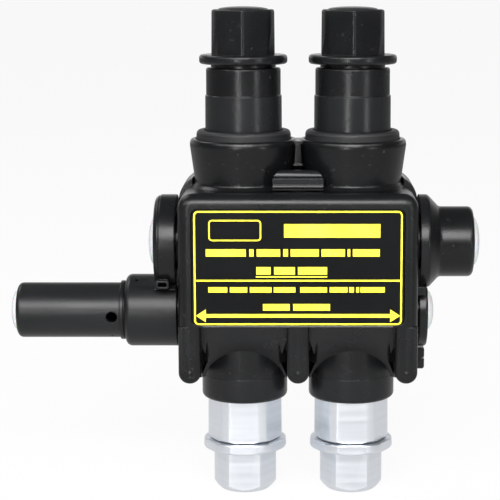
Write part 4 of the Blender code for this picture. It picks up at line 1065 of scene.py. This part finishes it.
class CONNECTOR_OT_ports(bpy.types.Operator):
    """Makes the four ports with their glands, the long sleeve and the domed seals"""
    bl_idname = "connector.ports"
    bl_label = "Ports"

    def execute(self, context):
        face = PORT_FACE
        left_face = -low_of("main_gland_left", 0)
        right_face = high_of("main_gland_right", 0)
        outer = {
            "left": [
                (11.3 * MM, face, 0.0003), (11.3 * MM, left_face - 1.35 * MM, 0.0002),
                (11.0 * MM, left_face - 1.3 * MM), (11.0 * MM, left_face - 1.1 * MM),
                (11.15 * MM, left_face - 1.05 * MM, 0.0003), (10.4 * MM, left_face, 0.0006)],
            "right": [
                (11.3 * MM, face), (11.3 * MM, face + 2.1 * MM, 0.0005),
                (8.4 * MM, face + 4.8 * MM, 0.0005), (8.4 * MM, right_face, 0.0012)],
        }
        dome = high_of("main_seal_right", 0) - right_face
        for word, side in SIDES:
            axis = "+X" if side > 0 else "-X"
            rooms = [half_room(False)]
            if side < 0:
                rooms.append(block(
                    (-left_face - BITE, -0.012, -0.03),
                    (-face - 0.1 * MM, 0.012, PARTING + 1.5 * MM)))
            gland = carve(moved(port_form(outer[word], MAIN_PORT), axis=axis), rooms)
            if side < 0:
                gland = gather([gland, hook_form()])
            put(f"main_port_{word}", gland, "satin black moulding", f"main_gland_{word}")
            seal = seal_form(MAIN_SEAL_RADIUS, outer[word][-1][1], dome)
            put(f"main_dome_{word}", moved(seal, axis=axis), "milky port seal",
                f"main_seal_{word}")

        low = (0, 0, -PORT_DROP)
        end = high_of("house_gland_right", 0)
        disc = moved(port_form([(8.7 * MM, face), (8.7 * MM, end, 0.0006)], HOUSE_PORT), low, "+X")
        put("house_port_right", carve(disc, [half_room(True)]), "satin black moulding",
            "house_gland_right")
        seal = seal_form(HOUSE_SEAL_RADIUS, end, high_of("house_seal_right", 0) - end)
        put("house_dome_right", moved(seal, low, "+X"), "milky port seal", "house_seal_right")

        bore, spigot, seat = HOUSE_PORT
        end = -low_of("house_collar", 0) + 0.35 * MM
        shoulder = end - 1.3 * MM
        start = -high_of("house_sleeve", 0)
        collar = port_form([
            (8.65 * MM, face), (8.65 * MM, shoulder, 0.0014), (7.0 * MM, shoulder),
            (6.95 * MM, shoulder + 0.05 * MM), (6.95 * MM, shoulder + 0.3 * MM),
            (7.1 * MM, shoulder + 0.35 * MM, 0.0001), (7.1 * MM, end, 0.0002)],
            (bore, spigot, 6.85 * MM), end - start + CLEARANCE)
        collar = carve(moved(collar, low, "-X"), [half_room(True)])
        pin = (-38.4 * MM, -3.5 * MM, 7.9 * MM - PORT_DROP)
        put("sleeve_collar", bored(collar, [(pin, (0, -0.41, 0.91), 0.5 * MM, 0.8 * MM)]),
            "sleeve moulding", "house_collar")

        end = -low_of("house_sleeve", 0)
        sleeve = moved(spun([
            (6.6 * MM, end, 0.0012),
            (6.6 * MM, start),
            (bore, start),
            (bore, end - SEAL_DEPTH),
            (seat, end - SEAL_DEPTH),
            (seat, end, 0.0002),
        ]), low, "-X")
        vent = (-face - 15.55 * MM, -6.6 * MM, -0.6 * MM - PORT_DROP)
        mark = (-44.6 * MM, -3.1 * MM, -5.8 * MM - PORT_DROP)
        put("house_sleeve_tube", bored(sleeve, [
            (vent, (0, 1, 0), 1.35 * MM, 6.6 * MM),
            (mark, (0, -0.5, -0.87), 0.3 * MM, 0.5 * MM),
        ]), "sleeve moulding", "house_sleeve")
        seal = seal_form(HOUSE_SEAL_RADIUS, end, -low_of("house_seal_left", 0) - end)
        put("house_dome_left", moved(seal, low, "-X"), "milky port seal", "house_seal_left")
        return {"FINISHED"}


# Label

INK_RISE = 0.03 * MM
INK_SINK = 0.1 * MM


def stroke(left, right, low, high):
    """A bar of print that sits in the face of the label."""
    return block((left, LABEL_FACE - INK_RISE, low), (right, LABEL_FACE + INK_SINK, high))


def outlined(left, right, low, high, line, corner):
    """A line of print round a field with rounded corners; line is half its width."""
    ring = stroke(left - line, right + line, low - line, high + line)
    ease(ring, edges_at("xz"), corner, 6)
    window = block((left + line, -0.05, low + line), (right - line, 0, high - line))
    return carve(ring, [ease(window, edges_at("xz"), corner - 2 * line, 6)])


# Bars of print as (foot, top, ((left, right), ...)), in millimetres from the middle of the part
PRINT_BARS = (
    (3.55, 6.7, ((-3.2, 18.9),)),
    (-0.85, 0.85, (
        (-21.2, -12.0), (-11.2, -10.2), (-9.5, -4.1), (-3.4, -2.3), (-1.7, 4.8), (5.4, 10.8),
        (11.4, 12.0), (12.6, 18.8))),
    (-5.05, -3.3, ((-9.6, -6.3), (-5.5, -0.7), (0.0, 6.7))),
    (-5.72, -5.42, ((-9.7, 6.7),)),
    (-9.25, -8.0, (
        (-20.7, -16.3), (-15.7, -11.7), (-11.1, -6.1), (-5.6, -0.6), (0.5, 6.7), (7.3, 11.4),
        (11.8, 12.9), (13.4, 14.1), (14.4, 20.0))),
    (-13.5, -11.95, ((-8.1, -1.9), (-1.1, 7.4))),
)


class CONNECTOR_OT_label(bpy.types.Operator):
    """Makes the label plate and its yellow print of plain bars, lines and an arrow"""
    bl_idname = "connector.label"
    bl_label = "Label"

    def execute(self, context):
        plate = block(
            (-PLATE_HALF, LABEL_FACE, PLATE_LOW),
            (PLATE_HALF, high_of("label_plate", 1), PLATE_HIGH))
        ease(plate, edges_at("xz"), 0.0013, 6)
        ease(plate, edges_at(y=LABEL_FACE), 0.0001, 2)
        put("label_face", plate, "label film", "label_plate")

        half = 23.6 * MM
        head = half - 2.3 * MM
        divider = -6.48 * MM
        arrow = -14.73 * MM
        forms = [
            outlined(-23.8 * MM, 23.8 * MM, -16.72 * MM, 9.53 * MM, 0.2 * MM, 0.0011),
            outlined(-20.4 * MM, -8.6 * MM, 2.9 * MM, 7.5 * MM, 0.17 * MM, 0.0009),
            stroke(-half, half, divider - 0.2 * MM, divider + 0.2 * MM),
        ]
        for foot, top, bars in PRINT_BARS:
            for left, right in bars:
                forms.append(stroke(left * MM, right * MM, foot * MM, top * MM))
        forms.append(stroke(-head, head, arrow - 0.42 * MM, arrow + 0.42 * MM))
        for side in (-1, 1):
            corners = [
                (side * half, arrow), (side * head, arrow + 1.5 * MM),
                (side * head, arrow - 1.5 * MM)]
            forms.append(prism(corners, LABEL_FACE - INK_RISE, LABEL_FACE + INK_SINK, "Y"))
        dress(as_object("label_print", gather(forms)), "label ink", BODY)
        return {"FINISHED"}


# Lamps as (name, turn from the front, rise, distance, (width, height), power)
LAMPS = (
    ("front_box", -3, 29, 0.9, (0.62, 0.4), 10.5),
    ("near_left_box", -45, 31, 0.95, (0.6, 0.26), 2.8),
    ("near_right_box", 40, 31, 0.95, (0.6, 0.26), 2.4),
    ("front_strip", -15, 0, 0.9, (0.06, 0.17), 1.2),
    ("right_strip", 42, 0, 0.9, (0.07, 0.2), 0.7),
    ("left_box", -125, 45, 0.9, (0.4, 0.3), 1.5),
)
FLOOR_HALF = 100.0
FLOOR_SHOWN = 0.93
DIM_SKY = 0.12
CAMERA_PLACE = (0, -0.40275, 0.0631)
CAMERA_LENS = 122.4
CAMERA_SENSOR = 36.0
CAMERA_SHIFT = -0.096


def make_floor_finish(colour):
    """A pale floor that is evenly white to the camera, and that glows to metal and other reflections
    with a painted pool of light round the object, fading with distance.
    """
    name = "pale floor"
    tree, shader = shader_of(name, {
        "Base Color": (*colour, 1.0), "Roughness": 0.9, "Specular IOR Level": 0.1})
    path = node_in(tree, "ShaderNodeLightPath")
    place = node_in(tree, "ShaderNodeTexCoord")
    distance = node_in(tree, "ShaderNodeVectorMath", operation="LENGTH")
    # Painted pool of light: for glossy rays the floor glows brightest round the object and dimmer
    # further out
    painted_light_pool = node_in(
        tree, "ShaderNodeMapRange",
        {"From Min": 0.1, "From Max": 0.75, "To Min": 0.72, "To Max": 0.25},
        interpolation_type="SMOOTHSTEP")
    shown = node_in(tree, "ShaderNodeMath", operation="MAXIMUM")
    strength = node_in(tree, "ShaderNodeMath", operation="MAXIMUM")
    amount = node_in(tree, "ShaderNodeMath", {1: FLOOR_SHOWN}, operation="MULTIPLY")
    glow = node_in(tree, "ShaderNodeEmission")
    mix = node_in(tree, "ShaderNodeMixShader")
    wire(
        tree,
        (place, "Object", distance, 0),
        (distance, "Value", painted_light_pool, "Value"),
        (path, "Is Camera Ray", shown, 0),
        (path, "Is Glossy Ray", shown, 1),
        (path, "Is Camera Ray", strength, 0),
        (painted_light_pool, "Result", strength, 1),
        (shown, "Value", amount, 0),
        (strength, "Value", glow, "Strength"),
        (amount, "Value", mix, "Fac"),
        (shader, "BSDF", mix, 1),
        (glow, "Emission", mix, 2),
        (mix, "Shader", tree.nodes["Material Output"], "Surface"))
    return bpy.data.materials[name]


def make_surroundings():
    """A world that is white to the camera, dim as a light, and to metal white low down behind."""
    world = bpy.data.worlds.new("studio")
    world.use_nodes = True
    tree = world.node_tree
    path = node_in(tree, "ShaderNodeLightPath")
    place = node_in(tree, "ShaderNodeTexCoord")
    parts = node_in(tree, "ShaderNodeSeparateXYZ")
    low_back = node_in(tree, "ShaderNodeMath", operation="SUBTRACT")
    behind = node_in(
        tree, "ShaderNodeMapRange", {"From Min": 0.1, "From Max": 0.9, "To Min": DIM_SKY},
        interpolation_type="SMOOTHSTEP")
    shown = node_in(tree, "ShaderNodeMath", operation="MULTIPLY")
    direct = node_in(tree, "ShaderNodeMath", operation="MAXIMUM")
    seen = node_in(tree, "ShaderNodeMath", operation="MAXIMUM")
    strength = node_in(tree, "ShaderNodeMath", {1: DIM_SKY}, operation="MAXIMUM")
    sky = set_inputs(tree.nodes["Background"], {"Color": (1, 1, 1, 1)})
    wire(
        tree,
        (place, "Generated", parts, "Vector"),
        (parts, "Y", low_back, 0),
        (parts, "Z", low_back, 1),
        (low_back, "Value", behind, "Value"),
        (path, "Is Glossy Ray", shown, 0),
        (behind, "Result", shown, 1),
        (path, "Is Camera Ray", direct, 0),
        (path, "Is Transmission Ray", direct, 1),
        (direct, "Value", seen, 0),
        (shown, "Value", seen, 1),
        (seen, "Value", strength, 0),
        (strength, "Value", sky, "Strength"))
    return world


class CONNECTOR_OT_studio(bpy.types.Operator):
    """Makes the pale floor, the soft lamps and the camera"""
    bl_idname = "connector.studio"
    bl_label = "Studio"

    def execute(self, context):
        scene = context.scene
        scene.view_settings.view_transform = "Standard"

        form = bmesh.new()
        bmesh.ops.create_grid(
            form, x_segments=1, y_segments=1, size=FLOOR_HALF,
            matrix=Matrix.Translation((0, 0, CAD_LOW.z - 0.05 * MM)))
        floor = as_object("floor", form)
        floor.data.materials.append(make_floor_finish(tuple(scene.connector_colours.floor)))
        scene.world = make_surroundings()

        for name, turn, rise, reach, size, power in LAMPS:
            lamp = bpy.data.lights.new(name, "AREA")
            lamp.shape = "RECTANGLE"
            lamp.size, lamp.size_y = size
            lamp.energy = power
            made = bpy.data.objects.new(name, lamp)
            turn = math.radians(turn)
            rise = math.radians(rise)
            made.location = Vector((
                math.sin(turn) * math.cos(rise), -math.cos(turn) * math.cos(rise),
                math.sin(rise))) * reach
            made.rotation_euler = (-made.location).to_track_quat("-Z", "Y").to_euler()
            scene.collection.objects.link(made)

        camera = bpy.data.cameras.new("camera")
        camera.lens = CAMERA_LENS
        camera.sensor_width = CAMERA_SENSOR
        camera.shift_x = CAMERA_SHIFT
        camera.clip_start = 0.01
        camera.clip_end = 300
        view = bpy.data.objects.new("camera", camera)
        view.location = CAMERA_PLACE
        view.rotation_euler = (math.pi / 2 - scene.connector_sizes.camera_tilt, 0, 0)
        scene.collection.objects.link(view)
        scene.camera = view
        return {"FINISHED"}


class CONNECTOR_PT_panel(bpy.types.Panel):
    """Lists the steps that build the connector"""
    bl_idname = "CONNECTOR_PT_panel"
    bl_label = "Service connector"
    bl_space_type = "VIEW_3D"
    bl_region_type = "UI"
    bl_category = "Connector"

    def draw(self, context):
        for step in STEPS_IN_ORDER:
            self.layout.operator(step.bl_idname)
        for group in (context.scene.connector_sizes, context.scene.connector_colours):
            for name in group.__annotations__:
                self.layout.prop(group, name)


STEPS_IN_ORDER = (
    CONNECTOR_OT_finishes, CONNECTOR_OT_housing, CONNECTOR_OT_rear_cover, CONNECTOR_OT_top_clip,
    CONNECTOR_OT_main_bolts, CONNECTOR_OT_house_bolts, CONNECTOR_OT_ports, CONNECTOR_OT_label,
    CONNECTOR_OT_studio,
)
CLASSES = (ConnectorSizes, ConnectorColours, *STEPS_IN_ORDER, CONNECTOR_PT_panel)


def register():
    for made in CLASSES:
        bpy.utils.register_class(made)
    bpy.types.Scene.connector_sizes = PointerProperty(type=ConnectorSizes)
    bpy.types.Scene.connector_colours = PointerProperty(type=ConnectorColours)


def unregister():
    del bpy.types.Scene.connector_sizes
    del bpy.types.Scene.connector_colours
    for made in reversed(CLASSES):
        bpy.utils.unregister_class(made)


def main():
    register()
    for step in STEPS_IN_ORDER:
        getattr(bpy.ops.connector, step.bl_idname.split(".")[1])()


if __name__ == "__main__":
    main()
